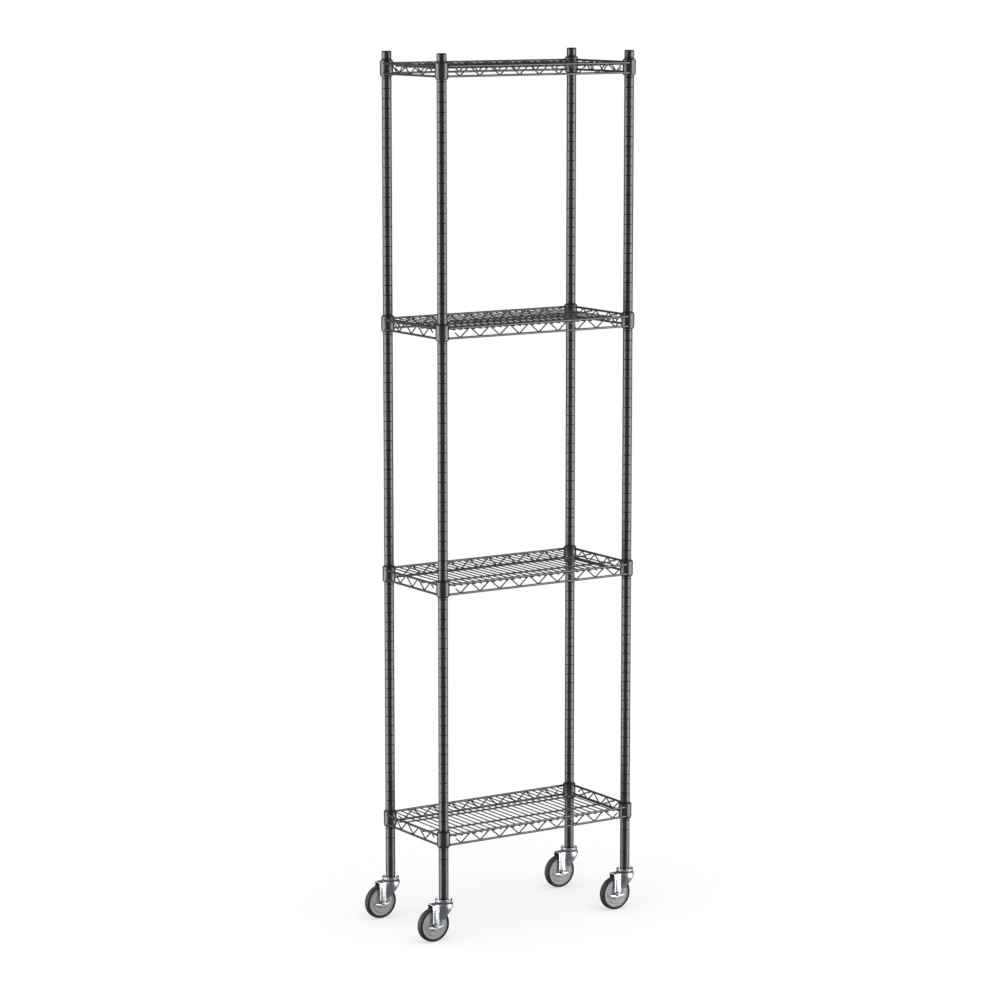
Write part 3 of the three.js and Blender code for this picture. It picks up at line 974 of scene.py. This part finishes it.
    def add_beads(self, shape: bmesh.types.BMesh) -> None:
        """Add the weld beads where wires cross and where they meet the collars.

        Args:
            shape: The shelf's mesh, its collars' tops at height zero.
        """
        out_y = self.half_y + self.frame_offset
        spot = self.deck_radius * Vector((self.spot_spread, self.spot_spread, self.spot_rise))
        for x in self.deck_places():
            for side in (-1, 1):
                add_bead(shape, Vector((x, side * out_y, self.deck + self.deck_radius)), spot)
                add_bead(shape, Vector((x, side * self.support_spacing / 2, self.deck - self.deck_radius)),
                         spot)
        fillet = self.frame_radius * self.fillet_share
        for side in (-1, 1):
            y = side * (self.half_y + self.snake_offset + self.snake_radius)
            for x, z in self.snake_corners(self.half_x, False)[1:-1]:
                inward = -1 if z == self.upper else 1
                add_bead(shape, Vector((x, y, z + inward * self.fillet_rise)),
                         Vector((fillet, self.fillet_depth, self.fillet_rise)))
            x = side * (self.half_x + self.snake_offset + self.snake_radius)
            for y, z in self.snake_corners(self.half_y, True)[1:-1]:
                inward = -1 if z == self.upper else 1
                add_bead(shape, Vector((x, y, z + inward * self.fillet_rise)),
                         Vector((self.fillet_depth, fillet, self.fillet_rise)))
        reach = self.frame_setback + self.collar_bead_reach
        for sx in (-1, 1):
            for sy in (-1, 1):
                for height in (self.upper, self.lower):
                    ends = (Vector((self.half_x - reach, self.half_y + self.frame_offset)),
                            Vector((self.half_x + self.frame_offset, self.half_y - reach)))
                    for end in ends:
                        add_bead(shape, Vector((sx * end.x, sy * end.y, height)), self.collar_bead)

    def sleeve(self, slit: float) -> bmesh.types.BMesh:
        """Turn a split sleeve as two half rings with a slit between them.

        Args:
            slit: Direction of one of the slits, in radians about Z.

        Returns:
            The sleeve, with the collar's top at height zero.
        """
        low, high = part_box(f"sleeve_{self.level}_{Corner.FRONT_LEFT.value}")
        bottom, top = low.z - self.top, high.z - self.top
        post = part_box(f"post_{Corner.FRONT_LEFT.value}")
        bore = (post[1].x - post[0].x) / 2 + self.sleeve_play
        outer_low = self.collar_bore_bottom + self.sleeve_low_spread
        outer_top = self.collar_bore_top - CLEARANCE
        profile = [(bore, bottom), (outer_low, bottom), (outer_top, top - self.sleeve_edge),
                   (outer_top - self.sleeve_edge, top), (bore, top)]
        gap = self.sleeve_slit / bore
        halves = [spun(profile, ROUND_STEPS // 2, angle=math.pi - gap, start=slit + gap / 2 + half * math.pi)
                  for half in range(2)]
        return absorb(bmesh.new(), *halves)

    def build(self, epoxy: bpy.types.Material, plastic: bpy.types.Material) -> None:
        """Make the shelf and its four sleeves in place.

        Args:
            epoxy: Finish of the shelf.
            plastic: Finish of the sleeves.
        """
        shape = drawn([*self.frame_wires(), *self.snake_wires(), *self.deck_wires(), *self.support_wires()])
        self.add_beads(shape)
        for sx in (-1, 1):
            for sy in (-1, 1):
                absorb(shape, moved(self.collar(), Vector((sx * self.half_x, sy * self.half_y, 0.0))))
        place = Vector((self.middle_x, 0.0, self.top))
        add_piece(f"wire_shelf_{self.level}", moved(shape, place), epoxy, Slot.EPOXY, "root",
                  f"shelf_{self.level}")
        for corner in Corner:
            post = centre_of(f"post_{corner.value}")
            slit = math.atan2(-post.y, self.middle_x - post.x)
            add_piece(f"split_sleeve_{self.level}_{corner.value}",
                      moved(self.sleeve(slit), Vector((post.x, post.y, self.top))), plastic,
                      Slot.BLACK_PLASTIC, "root", f"sleeve_{self.level}_{corner.value}")


# ------------------------------------------------------------------------------ casters
@dataclass
class Fork:
    """A pressed steel fork: a round hood over the swivel, drawn out into two parallel legs."""

    radius: float
    half_width: float
    top: float
    trail: float
    axle_height: float
    wall: float = 0.0025
    shoulder: float = 0.004
    leg_half: float = 0.009
    leg_drop: float = 0.0042
    brace_foot: tuple[float, float] = (-0.016, 0.054)
    brace_slope: float = 1.02
    brace_lift: float = 0.005
    brace_room: float = 0.001
    draw_in: float = 0.75
    draw_back: float = 0.4
    crown_depth: float = 0.013
    leg_columns: int = 12
    arc_columns: int = 14
    wall_rows: int = 6
    shoulder_rows: int = 4
    rib_half: float = 0.0045
    rib_reach: float = 0.040
    rib_proud: float = 0.0018
    foot_half_span: float = 0.024
    foot_depth: float = 0.0098
    foot_hollow: float = 0.0030
    foot_proud: float = 0.0016
    foot_steps: int = 20
    rib_edge: float = 0.0014
    rib_steps: int = 10
    rib_sink: float = 0.0004
    pin_hole: float = 0.0055
    pin_cut: float = 0.01
    axle_hole: float = 0.0043
    axle_cut: float = 0.04
    hole_steps: int = 24
    edge: float = 0.0005
    edge_angle: float = math.radians(50)

    def lowest(self, x: float) -> float:
        """Give the height of the fork's lower edge.

        Args:
            x: Place along X from the swivel axis.

        Returns:
            The height above the floor.
        """
        from_axle = x + self.trail
        if from_axle <= self.leg_half:
            share = min(1.0, abs(from_axle / self.leg_half))
            return self.axle_height - self.leg_drop - self.leg_half * math.sqrt(1 - share ** 2)
        start, height = self.brace_foot
        ahead = max(0.0, x - start)
        brace = height + self.brace_slope * (x - start) + self.brace_lift * (ahead / (2 * -start)) ** 2
        return min(brace, self.top - self.shoulder - self.brace_room)

    def plan(self) -> list[tuple[Vector, Vector]]:
        """List the columns of the wall seen from above, from the back leg's tail round to the front leg's.

        Returns:
            Each column's place and the direction into the fork.
        """
        join = math.asin(self.half_width / self.radius)
        half = []
        for i in range(self.leg_columns + 1):
            x = -self.trail - self.leg_half * math.cos(math.pi * i / self.leg_columns)
            half.append((Vector((x, self.half_width)), Vector((0.0, -1.0))))
        for i in range(self.arc_columns + 1):
            turn = (math.pi - join) * (1 - i / self.arc_columns)
            out = Vector((math.cos(turn), math.sin(turn)))
            half.append((out * self.radius, -out))
        other = [(Vector((p.x, -p.y)), Vector((n.x, -n.y))) for p, n in reversed(half[:-1])]
        return half + other

    def wall_point(self, place: Vector, inward: Vector, row: int) -> Vector:
        """Place one point of the wall.

        Args:
            place: The column's place seen from above.
            inward: Direction into the fork there.
            row: Row number, from the lower edge up and over the shoulder.

        Returns:
            The point.
        """
        low = self.lowest(place.x)
        seat = self.top - self.shoulder
        if row > self.wall_rows:
            turn = QUARTER_TURN * (row - self.wall_rows) / self.shoulder_rows
            over = place + inward * self.shoulder * (1 - math.cos(turn))
            return Vector((over.x, over.y, seat + self.shoulder * math.sin(turn)))
        height = low + (seat - low) * row / self.wall_rows
        crown = self.top - self.crown_depth
        drawn_in = self.draw_in * min(1.0, max(0.0, (crown - height) / (crown - self.brace_foot[1])))
        side = math.copysign(1.0, place.y)
        bulge = max(0.0, abs(place.y) - self.half_width) * (1 - drawn_in)
        y = side * (self.half_width + bulge) if abs(place.y) >= self.half_width else place.y
        x = place.x * (1 - self.draw_back * drawn_in) if place.x > 0 else place.x
        return Vector((x, y, height))

    def shell(self) -> bmesh.types.BMesh:
        """Press the hood and legs from one sheet.

        Returns:
            The shell with its wall's thickness, about the swivel axis.
        """
        columns = self.plan()
        rows = self.wall_rows + self.shoulder_rows
        sheet = bmesh.new()
        bmesh.ops.create_grid(sheet, x_segments=len(columns) - 1, y_segments=rows, size=1.0)
        crest = []
        for vert in list(sheet.verts):
            column = round((vert.co.x + 1) / 2 * (len(columns) - 1))
            row = round((vert.co.y + 1) / 2 * rows)
            if row == rows:
                crest.append((column, vert))
            vert.co = self.wall_point(*columns[column], row)
        sheet.faces.new([vert for _, vert in sorted(crest, key=lambda item: item[0])])
        bmesh.ops.remove_doubles(sheet, verts=sheet.verts, dist=10 * SAME_POINT)
        bmesh.ops.recalc_face_normals(sheet, faces=sheet.faces)
        roof = max(sheet.faces, key=lambda face: face.calc_center_median().z)
        if roof.normal.z < 0:
            bmesh.ops.reverse_faces(sheet, faces=sheet.faces)
        return sheet

    def rib(self) -> list[tuple[float, float]]:
        """Outline the raised rib that runs down each leg."""
        crown = self.axle_height + self.rib_reach - self.rib_half
        feet = [(-self.trail + side * self.rib_half, self.axle_height) for side in (-1, 1)]
        return [*feet, *arc((-self.trail, crown), (self.rib_half, self.rib_half), 0, 180, self.rib_steps)]

    def foot(self) -> list[tuple[float, float]]:
        """Outline the crescent about the axle, pointed at both ends."""
        axle = (-self.trail, self.axle_height)
        lower = arc(axle, (self.foot_half_span, self.foot_depth), -180, 0, self.foot_steps)
        upper = arc(axle, (self.foot_half_span, self.foot_hollow), 0, -180, self.foot_steps)
        return lower + upper[1:-1]

    def build(self) -> bmesh.types.BMesh:
        """Press the fork with its holes, ribs and feet.

        Returns:
            The fork, about the swivel axis.
        """
        pin = cutter(rod(self.pin_hole, self.top - self.pin_cut, self.top + self.pin_cut, self.hole_steps))
        axle_hole = across(rod(self.axle_hole, -self.axle_cut, self.axle_cut, self.hole_steps))
        axle = cutter(moved(axle_hole, Vector((-self.trail, 0.0, self.axle_height))))
        shape = finished(
            self.shell(),
            ("SOLIDIFY", {"thickness": self.wall, "offset": -1.0}),
            ("BOOLEAN", {"operation": "DIFFERENCE", "object": pin, "solver": "EXACT"}),
            ("BOOLEAN", {"operation": "DIFFERENCE", "object": axle, "solver": "EXACT"}),
            ("BEVEL", {"width": self.edge, "segments": 2, "limit_method": "ANGLE",
                       "angle_limit": self.edge_angle}),
        )
        for tool in (pin, axle):
            bpy.data.objects.remove(tool)
        for side in Side:
            inner = side.value * (self.half_width - self.rib_sink)
            rib_face = side.value * (self.half_width + self.rib_proud)
            foot_face = side.value * (self.half_width + self.foot_proud)
            absorb(shape, plate(self.rib(), inner, rib_face, self.rib_edge))
            absorb(shape, plate(self.foot(), inner, foot_face, self.edge))
        return shape


@dataclass
class Caster:
    """A swivel stem caster: insert, stem, bearing cup, fork, axle, wheel core and tyre.

    web_steps holds radii and rises over the web's face, nut_collar_top radii and drops from the
    nut's outer end, and tyre_lip ways out from the tyre's bore and drops from its side.
    """

    corner: Corner
    edge: float = 0.0004
    insert_step: float = 0.0026
    insert_chamfer: float = 0.001
    stem_radius: float = 0.006
    stem_tip: float = 0.0012
    kingpin_radius: float = 0.005
    kingpin_head: float = 0.0026
    head_chamfer: float = 0.0008
    cup_floor: float = 0.0195
    cup_wall: float = 0.0018
    cup_roll: float = 0.0012
    cup_lip: float = 0.002
    cup_lip_inside: float = 0.0016
    cup_outer_bend: float = 0.0022
    cup_inner_bend: float = 0.0012
    cup_ledge: float = 0.0052
    cup_seat_radius: float = 0.0127
    fork_room: float = 0.0028
    hub_radius: float = 0.012
    hub_edge: float = 0.0008
    hub_step: float = 0.0004
    hub_step_drop: float = 0.0022
    hub_foot: float = 0.0014
    web_half: float = 0.0075
    web_steps: Profile = ((0.0195, -0.0006), (0.0205, 0.0001), (0.0285, 0.0003), (0.0293, -0.0004))
    web_bend: float = 0.0005
    rim_width: float = 0.0026
    rim_rise: float = 0.0009
    rim_edge: float = 0.0005
    moulded_chamfer: float = 0.0006
    core_steps: int = 64
    bolt_radius: float = 0.004
    bolt_chamfer: float = 0.0007
    bolt_steps: int = 32
    shank_lap: float = 0.0005
    washer: float = 0.0008
    washer_lap: float = 0.0004
    head_radius: float = 0.0069
    hexagon_share: float = 0.97
    hexagon_edge: float = 0.0009
    nut_share: float = 0.62
    nut_cut: float = 0.01
    nut_collar_foot: float = 0.002
    nut_collar_radius: float = 0.0061
    nut_collar_top: Profile = ((0.0061, 0.0016), (0.0056, 0.0005), (0.0050, 0.0), (0.0047, 0.0012))
    tyre_shoulder: float = 0.0032
    tyre_lip: Profile = ((0.0, 0.0012), (0.0006, 0.0004), (0.0014, 0.0))
    tyre_seat: float = 0.0002
    tyre_steps: int = 72
    shoulder_steps: int = 5
    shoulder_share: float = 0.7
    tread_crown: float = 0.0005
    tread_middle: float = 0.35
    tread_middle_drop: float = 0.3

    def __post_init__(self) -> None:
        """Take the caster's places from the frame."""
        post = centre_of(f"post_{self.corner.value}")
        self.swivel = Vector((post.x, post.y, 0.0))
        self.axle = centre_of(self.node("wheel_core"))
        self.post_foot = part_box(f"post_{self.corner.value}")[0].z

    def node(self, kind: str) -> str:
        """Name one of the caster's CAD nodes."""
        return f"{kind}_{self.corner.value}"

    def heights(self, kind: str) -> tuple[float, float]:
        """Give the lowest and highest point of one of the caster's CAD nodes."""
        low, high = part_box(self.node(kind))
        return low.z, high.z

    def half_across(self, kind: str) -> float:
        """Give half the width along X of one of the caster's CAD nodes."""
        low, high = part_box(self.node(kind))
        return (high.x - low.x) / 2

    def insert(self) -> bmesh.types.BMesh:
        """Turn the plastic insert that holds the stem in the post."""
        low, high = self.heights("post_insert")
        flange = self.half_across("post_insert")
        plug = flange - self.insert_step
        bore = self.stem_radius + CLEARANCE
        seat = self.post_foot - CLEARANCE
        return spun([(bore, low), (flange - self.edge, low), (flange, low + self.edge), (flange, seat),
                     (plug, seat), (plug, high - self.insert_chamfer), (plug - self.insert_chamfer, high),
                     (bore, high)])

    def stem(self) -> bmesh.types.BMesh:
        """Turn the stem with the kingpin and its head below."""
        low, high = self.heights("stem")
        head = self.half_across("stem")
        shoulder = self.heights("fork")[1] + CLEARANCE
        under = low + self.kingpin_head
        return spun([(0.0, low), (head - self.head_chamfer, low), (head, low + self.head_chamfer),
                     (head, under - self.edge), (head - self.edge, under), (self.kingpin_radius, under),
                     (self.kingpin_radius, shoulder), (self.stem_radius, shoulder),
                     (self.stem_radius, high - self.stem_tip), (self.stem_radius - self.stem_tip, high),
                     (0.0, high)], closed=False)

    def cup(self) -> bmesh.types.BMesh:
        """Turn the bearing cup with its rolled rim."""
        low, high = self.heights("raceway")
        rim = self.half_across("raceway")
        seat = self.heights("post_insert")[0] - CLEARANCE
        bore = self.stem_radius + CLEARANCE
        side, mouth, floor = rim - self.edge, rim - self.cup_wall, low + self.cup_wall
        outside = rounded([(bore, low), (self.cup_floor, low), (side, low + rim - self.cup_floor),
                           (side, high - self.cup_lip), (rim, high - self.cup_roll), (rim, high - self.edge),
                           (rim - self.cup_roll, high)], self.cup_outer_bend)
        inside = rounded([(mouth, high - self.edge / 2), (mouth - self.edge, high - self.cup_lip_inside),
                          (self.cup_floor - self.cup_wall + self.edge, floor),
                          (self.cup_floor - self.cup_ledge, floor + CLEARANCE), (self.cup_seat_radius, seat),
                          (bore, seat)], self.cup_inner_bend)
        return spun([*outside, *inside])

    def fork(self) -> bmesh.types.BMesh:
        """Press the fork.

        Returns:
            The fork, about the swivel axis.
        """
        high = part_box(self.node("fork"))[1]
        core_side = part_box(self.node("wheel_core"))[0].y
        return Fork(
            radius=high.x - self.swivel.x, half_width=self.swivel.y - core_side + self.fork_room, top=high.z,
            trail=self.swivel.x - self.axle.x, axle_height=self.axle.z).build()

    def bolt(self) -> bmesh.types.BMesh:
        """Make the axle bolt: a chamfered hex head, a shank and a turned end."""
        low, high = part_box(self.node("axle_bolt"))
        nut_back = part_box(self.node("axle_nut"))[1].y
        seat = 2 * self.axle.y - nut_back
        end, top = low.y - self.axle.y, high.y - self.axle.y
        under = seat - self.axle.y
        shank_top = under + self.shank_lap
        shank = spun([(0.0, end), (self.bolt_radius - self.bolt_chamfer, end),
                      (self.bolt_radius, end + self.bolt_chamfer), (self.bolt_radius, shank_top),
                      (0.0, shank_top)], self.bolt_steps, closed=False)
        washer = rod(self.head_radius, under, under + self.washer, ROUND_STEPS)
        return across(absorb(shank, washer, self.hexagon(under + self.washer_lap, top)))

    def hexagon(self, low: float, high: float) -> bmesh.types.BMesh:
        """Make a hexagonal head or nut with its outer corners chamfered.

        Args:
            low: Height of its seat.
            high: Height of its outer face.

        Returns:
            The hexagon, about Z.
        """
        shape = bmesh.new()
        corner = self.head_radius * self.hexagon_share
        bmesh.ops.create_cone(shape, cap_ends=True, segments=6, radius1=corner, radius2=corner,
                              depth=high - low, matrix=Matrix.Translation((0, 0, (low + high) / 2)))
        rim = [edge for edge in shape.edges if all(abs(vert.co.z - high) < SAME_POINT for vert in edge.verts)]
        bmesh.ops.bevel(shape, geom=rim, offset=self.hexagon_edge, offset_type="OFFSET", segments=3,
                        profile=0.5, affect="EDGES", material=-1)
        return shape

    def nut(self) -> bmesh.types.BMesh:
        """Make the axle nut: a hexagon domed towards a collar that grips the bolt's end."""
        low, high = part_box(self.node("axle_nut"))
        seat, top = self.axle.y - high.y, self.axle.y - low.y
        bore = self.bolt_radius + CLEARANCE
        hexagon = self.hexagon(seat, seat + (top - seat) * self.nut_share)
        hole = cutter(rod(bore, seat - self.nut_cut, top + self.nut_cut, self.bolt_steps))
        body = finished(hexagon, ("BOOLEAN", {"operation": "DIFFERENCE", "object": hole, "solver": "EXACT"}))
        bpy.data.objects.remove(hole)
        foot = seat + self.nut_collar_foot
        collar = spun([(bore + self.edge, foot), (self.nut_collar_radius, foot),
                       *((radius, top - drop) for radius, drop in self.nut_collar_top)])
        shape = across(absorb(body, collar))
        bmesh.ops.rotate(shape, verts=shape.verts, cent=(0, 0, 0), matrix=Matrix.Rotation(math.pi, 3, "Z"))
        return shape

    def core(self) -> bmesh.types.BMesh:
        """Turn the wheel core: hub, dished web with a step, and a raised rim ring."""
        low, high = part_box(self.node("wheel_core"))
        hub = (high.y - low.y) / 2
        rim = (high.z - low.z) / 2
        bore = self.bolt_radius + CLEARANCE
        web, chamfer = self.web_half, self.moulded_chamfer
        step, top = rim - self.rim_width, web + self.rim_rise
        half = rounded([
            (bore, hub - chamfer), (bore + chamfer, hub), (self.hub_radius - self.hub_edge, hub),
            (self.hub_radius + self.hub_step, hub - self.hub_step_drop),
            (self.hub_radius + self.hub_foot, web - CLEARANCE),
            *((radius, web + rise) for radius, rise in self.web_steps),
            (step - chamfer, web - CLEARANCE), (step, top), (rim - self.rim_edge, top), (rim, top - chamfer)],
            self.web_bend, 2)
        other = [(radius, -height) for radius, height in reversed(half)]
        return across(spun([*half, *other], self.core_steps))

    def tyre(self) -> bmesh.types.BMesh:
        """Turn the tyre: rounded shoulders, a slightly crowned tread and a lip on the rim."""
        low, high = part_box(self.node("tyre"))
        half, outer = (high.y - low.y) / 2, self.axle.z
        bore = (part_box(self.node("wheel_core"))[1].z - self.axle.z) + self.tyre_seat
        crown, shoulder = self.tread_crown, self.tyre_shoulder
        side = rounded([
            *((bore + out, half - drop) for out, drop in self.tyre_lip),
            (outer - shoulder * self.shoulder_share, half), (outer - crown, half - shoulder),
            (outer - crown * self.tread_middle_drop, half * self.tread_middle), (outer, 0.0)],
            shoulder, self.shoulder_steps)
        other = [(radius, -height) for radius, height in reversed(side[:-1])]
        return across(spun([*side, *other], self.tyre_steps))

    def build(self, plastic: bpy.types.Material) -> None:
        """Make all the caster's pieces in place.

        Args:
            plastic: Finish of the insert.
        """
        name = self.corner.value
        swivel, wheel = f"swivel_{name}", f"wheel_{name}"
        zinc = ZINC_PLATE.material(self.swivel, f"_{name}")
        grey = WHEEL_PLASTIC.material(self.axle, f"_{name}")
        rubber = TYRE_RUBBER.material(self.axle, f"_{name}")
        hung, axled = (zinc, Slot.ZINC, "root"), (zinc, Slot.ZINC, swivel)
        for label, shape, at, (finish, slot, body), kind in (
            ("stem_socket", self.insert(), self.swivel, (plastic, Slot.BLACK_PLASTIC, "root"), "post_insert"),
            ("caster_stem", self.stem(), self.swivel, hung, "stem"),
            ("bearing_cup", self.cup(), self.swivel, hung, "raceway"),
            ("pressed_fork", self.fork(), self.swivel, axled, "fork"),
            ("hex_bolt", self.bolt(), self.axle, axled, "axle_bolt"),
            ("lock_nut", self.nut(), self.axle, axled, "axle_nut"),
            ("wheel_hub", self.core(), self.axle, (grey, Slot.WHEEL_PLASTIC, wheel), "wheel_core"),
            ("rubber_tyre", self.tyre(), self.axle, (rubber, Slot.RUBBER, wheel), "tyre"),
        ):
            add_piece(f"{label}_{name}", moved(shape, at), finish, slot, body, self.node(kind))


# ------------------------------------------------------------------------------ studio
@dataclass
class Studio:
    """A pale floor, a tall soft light on either side, a soft sun overhead and the camera."""

    azimuth: float = -32.85
    elevation: float = 8.76
    distance: float = 9.118
    aim_drop: float = 0.0265
    lens: float = 124.8
    sensor: float = 36.0
    sight: float = 100.0
    floor_radius: float = 4.5
    floor_segments: int = 96
    side_angle: float = 77.0
    side_distance: float = 2.6
    side_size: tuple[float, float] = (2.6, 3.9)
    side_height: float = 1.2
    side_watts: float = 175.0
    sun_strength: float = 3.95
    sun_width: float = 100.0
    room: float = 0.16
    floor_paint: str = "#a4a4a4"
    floor_glow: float = 0.58

    def away(self, azimuth: float, elevation: float) -> Vector:
        """Give the direction from the rack towards a place round it.

        Args:
            azimuth: Degrees round from the front, towards +X.
            elevation: Degrees above the horizon.

        Returns:
            The direction.
        """
        turn, rise = math.radians(azimuth), math.radians(elevation)
        return Vector((math.sin(turn) * math.cos(rise), -math.cos(turn) * math.cos(rise), math.sin(rise)))

    def link(self, name: str, data: Any) -> bpy.types.Object:
        """Put a light, camera or mesh into the scene.

        Args:
            name: The object's name.
            data: What it holds.

        Returns:
            The object.
        """
        made = bpy.data.objects.new(name, data)
        bpy.context.scene.collection.objects.link(made)
        return made

    def floor(self) -> bpy.types.Object:
        """Lay a round matt floor, lit from beneath as well so that shadows on it stay faint.

        Returns:
            The floor.
        """
        shape = bmesh.new()
        bmesh.ops.create_circle(shape, cap_ends=True, segments=self.floor_segments, radius=self.floor_radius)
        mesh = bpy.data.meshes.new("floor")
        shape.to_mesh(mesh)
        shape.free()
        paint = bpy.data.materials.new("matt_white_paint")
        paint.use_nodes = True
        tree = paint.node_tree
        tree.nodes.clear()
        matt = add_node(tree, "ShaderNodeBsdfDiffuse", inputs={
            "Color": linear(self.floor_paint), "Roughness": 1.0})
        glow = add_node(tree, "ShaderNodeEmission", inputs={"Strength": self.floor_glow})
        both = add_node(tree, "ShaderNodeAddShader", inputs={
            0: matt.outputs["BSDF"], 1: glow.outputs["Emission"]})
        add_node(tree, "ShaderNodeOutputMaterial", inputs={"Surface": both.outputs["Shader"]})
        mesh.materials.append(paint)
        floor = self.link("floor", mesh)
        floor.visible_glossy = False
        floor.visible_shadow = False
        return floor

    def lights(self, floor: bpy.types.Object) -> None:
        """Hang the side lights and the sun, and light the room.

        Args:
            floor: The floor, which only the sun and the room light.
        """
        shaded = bpy.data.collections.new("shaded_from_side_lights")
        shaded.objects.link(floor)
        shaded.collection_objects[0].light_linking.link_state = "EXCLUDE"
        for name, side in (("left_softbox", -1), ("right_softbox", 1)):
            light = bpy.data.lights.new(name, "AREA")
            light.shape = "RECTANGLE"
            light.size, light.size_y = self.side_size
            light.energy = self.side_watts
            box = self.link(name, light)
            out = self.away(self.azimuth + side * self.side_angle, 0.0)
            box.location = out * self.side_distance + Vector((0.0, 0.0, self.side_height))
            box.rotation_euler = out.to_track_quat("Z", "Y").to_euler()
            box.visible_camera = False
            box.light_linking.receiver_collection = shaded
        sun = bpy.data.lights.new("overhead_sun", "SUN")
        sun.energy = self.sun_strength
        sun.angle = math.radians(self.sun_width)
        fill = self.link("overhead_sun", sun)
        fill.visible_glossy = False
        world = bpy.data.worlds.new("room")
        bpy.context.scene.world = world
        world.use_nodes = True
        tree = world.node_tree
        tree.nodes.clear()
        seen = add_node(tree, "ShaderNodeLightPath").outputs["Is Camera Ray"]
        level = add_node(tree, "ShaderNodeMapRange", inputs={
            "Value": seen, "To Min": self.room, "To Max": 1.0})
        backdrop = add_node(tree, "ShaderNodeBackground", inputs={
            "Color": linear("#ffffff"), "Strength": level.outputs["Result"]})
        add_node(tree, "ShaderNodeOutputWorld", inputs={"Surface": backdrop.outputs["Background"]})

    def camera(self) -> None:
        """Stand the camera at the viewing angle."""
        low, high = CAD_BOX
        middle = (low + high) / 2
        data = bpy.data.cameras.new("camera")
        data.lens = self.lens
        data.sensor_width = self.sensor
        data.clip_end = self.sight
        camera = self.link("camera", data)
        camera.location = middle + self.away(self.azimuth, self.elevation) * self.distance
        aim = middle - Vector((0.0, 0.0, self.aim_drop))
        camera.rotation_euler = (aim - camera.location).to_track_quat("-Z", "Y").to_euler()
        bpy.context.scene.camera = camera

    def build(self) -> None:
        """Set up the floor, the lights, the camera and plain colour rendering."""
        self.lights(self.floor())
        self.camera()
        bpy.context.scene.view_settings.view_transform = "Standard"


def main() -> None:
    """Build the rack's looks in order and report each piece."""
    logging.basicConfig(level=logging.INFO, format="%(name)s %(message)s")
    Studio().build()
    epoxy = EPOXY_COAT.material()
    plastic = BLACK_NYLON.material()
    for corner in Corner:
        Post(corner).build(plastic)
        Caster(corner).build(plastic)
    levels = sum(1 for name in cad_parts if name.startswith("shelf_"))
    for level in range(1, levels + 1):
        Shelf(level).build(epoxy, plastic)


if __name__ == "__main__":
    main()
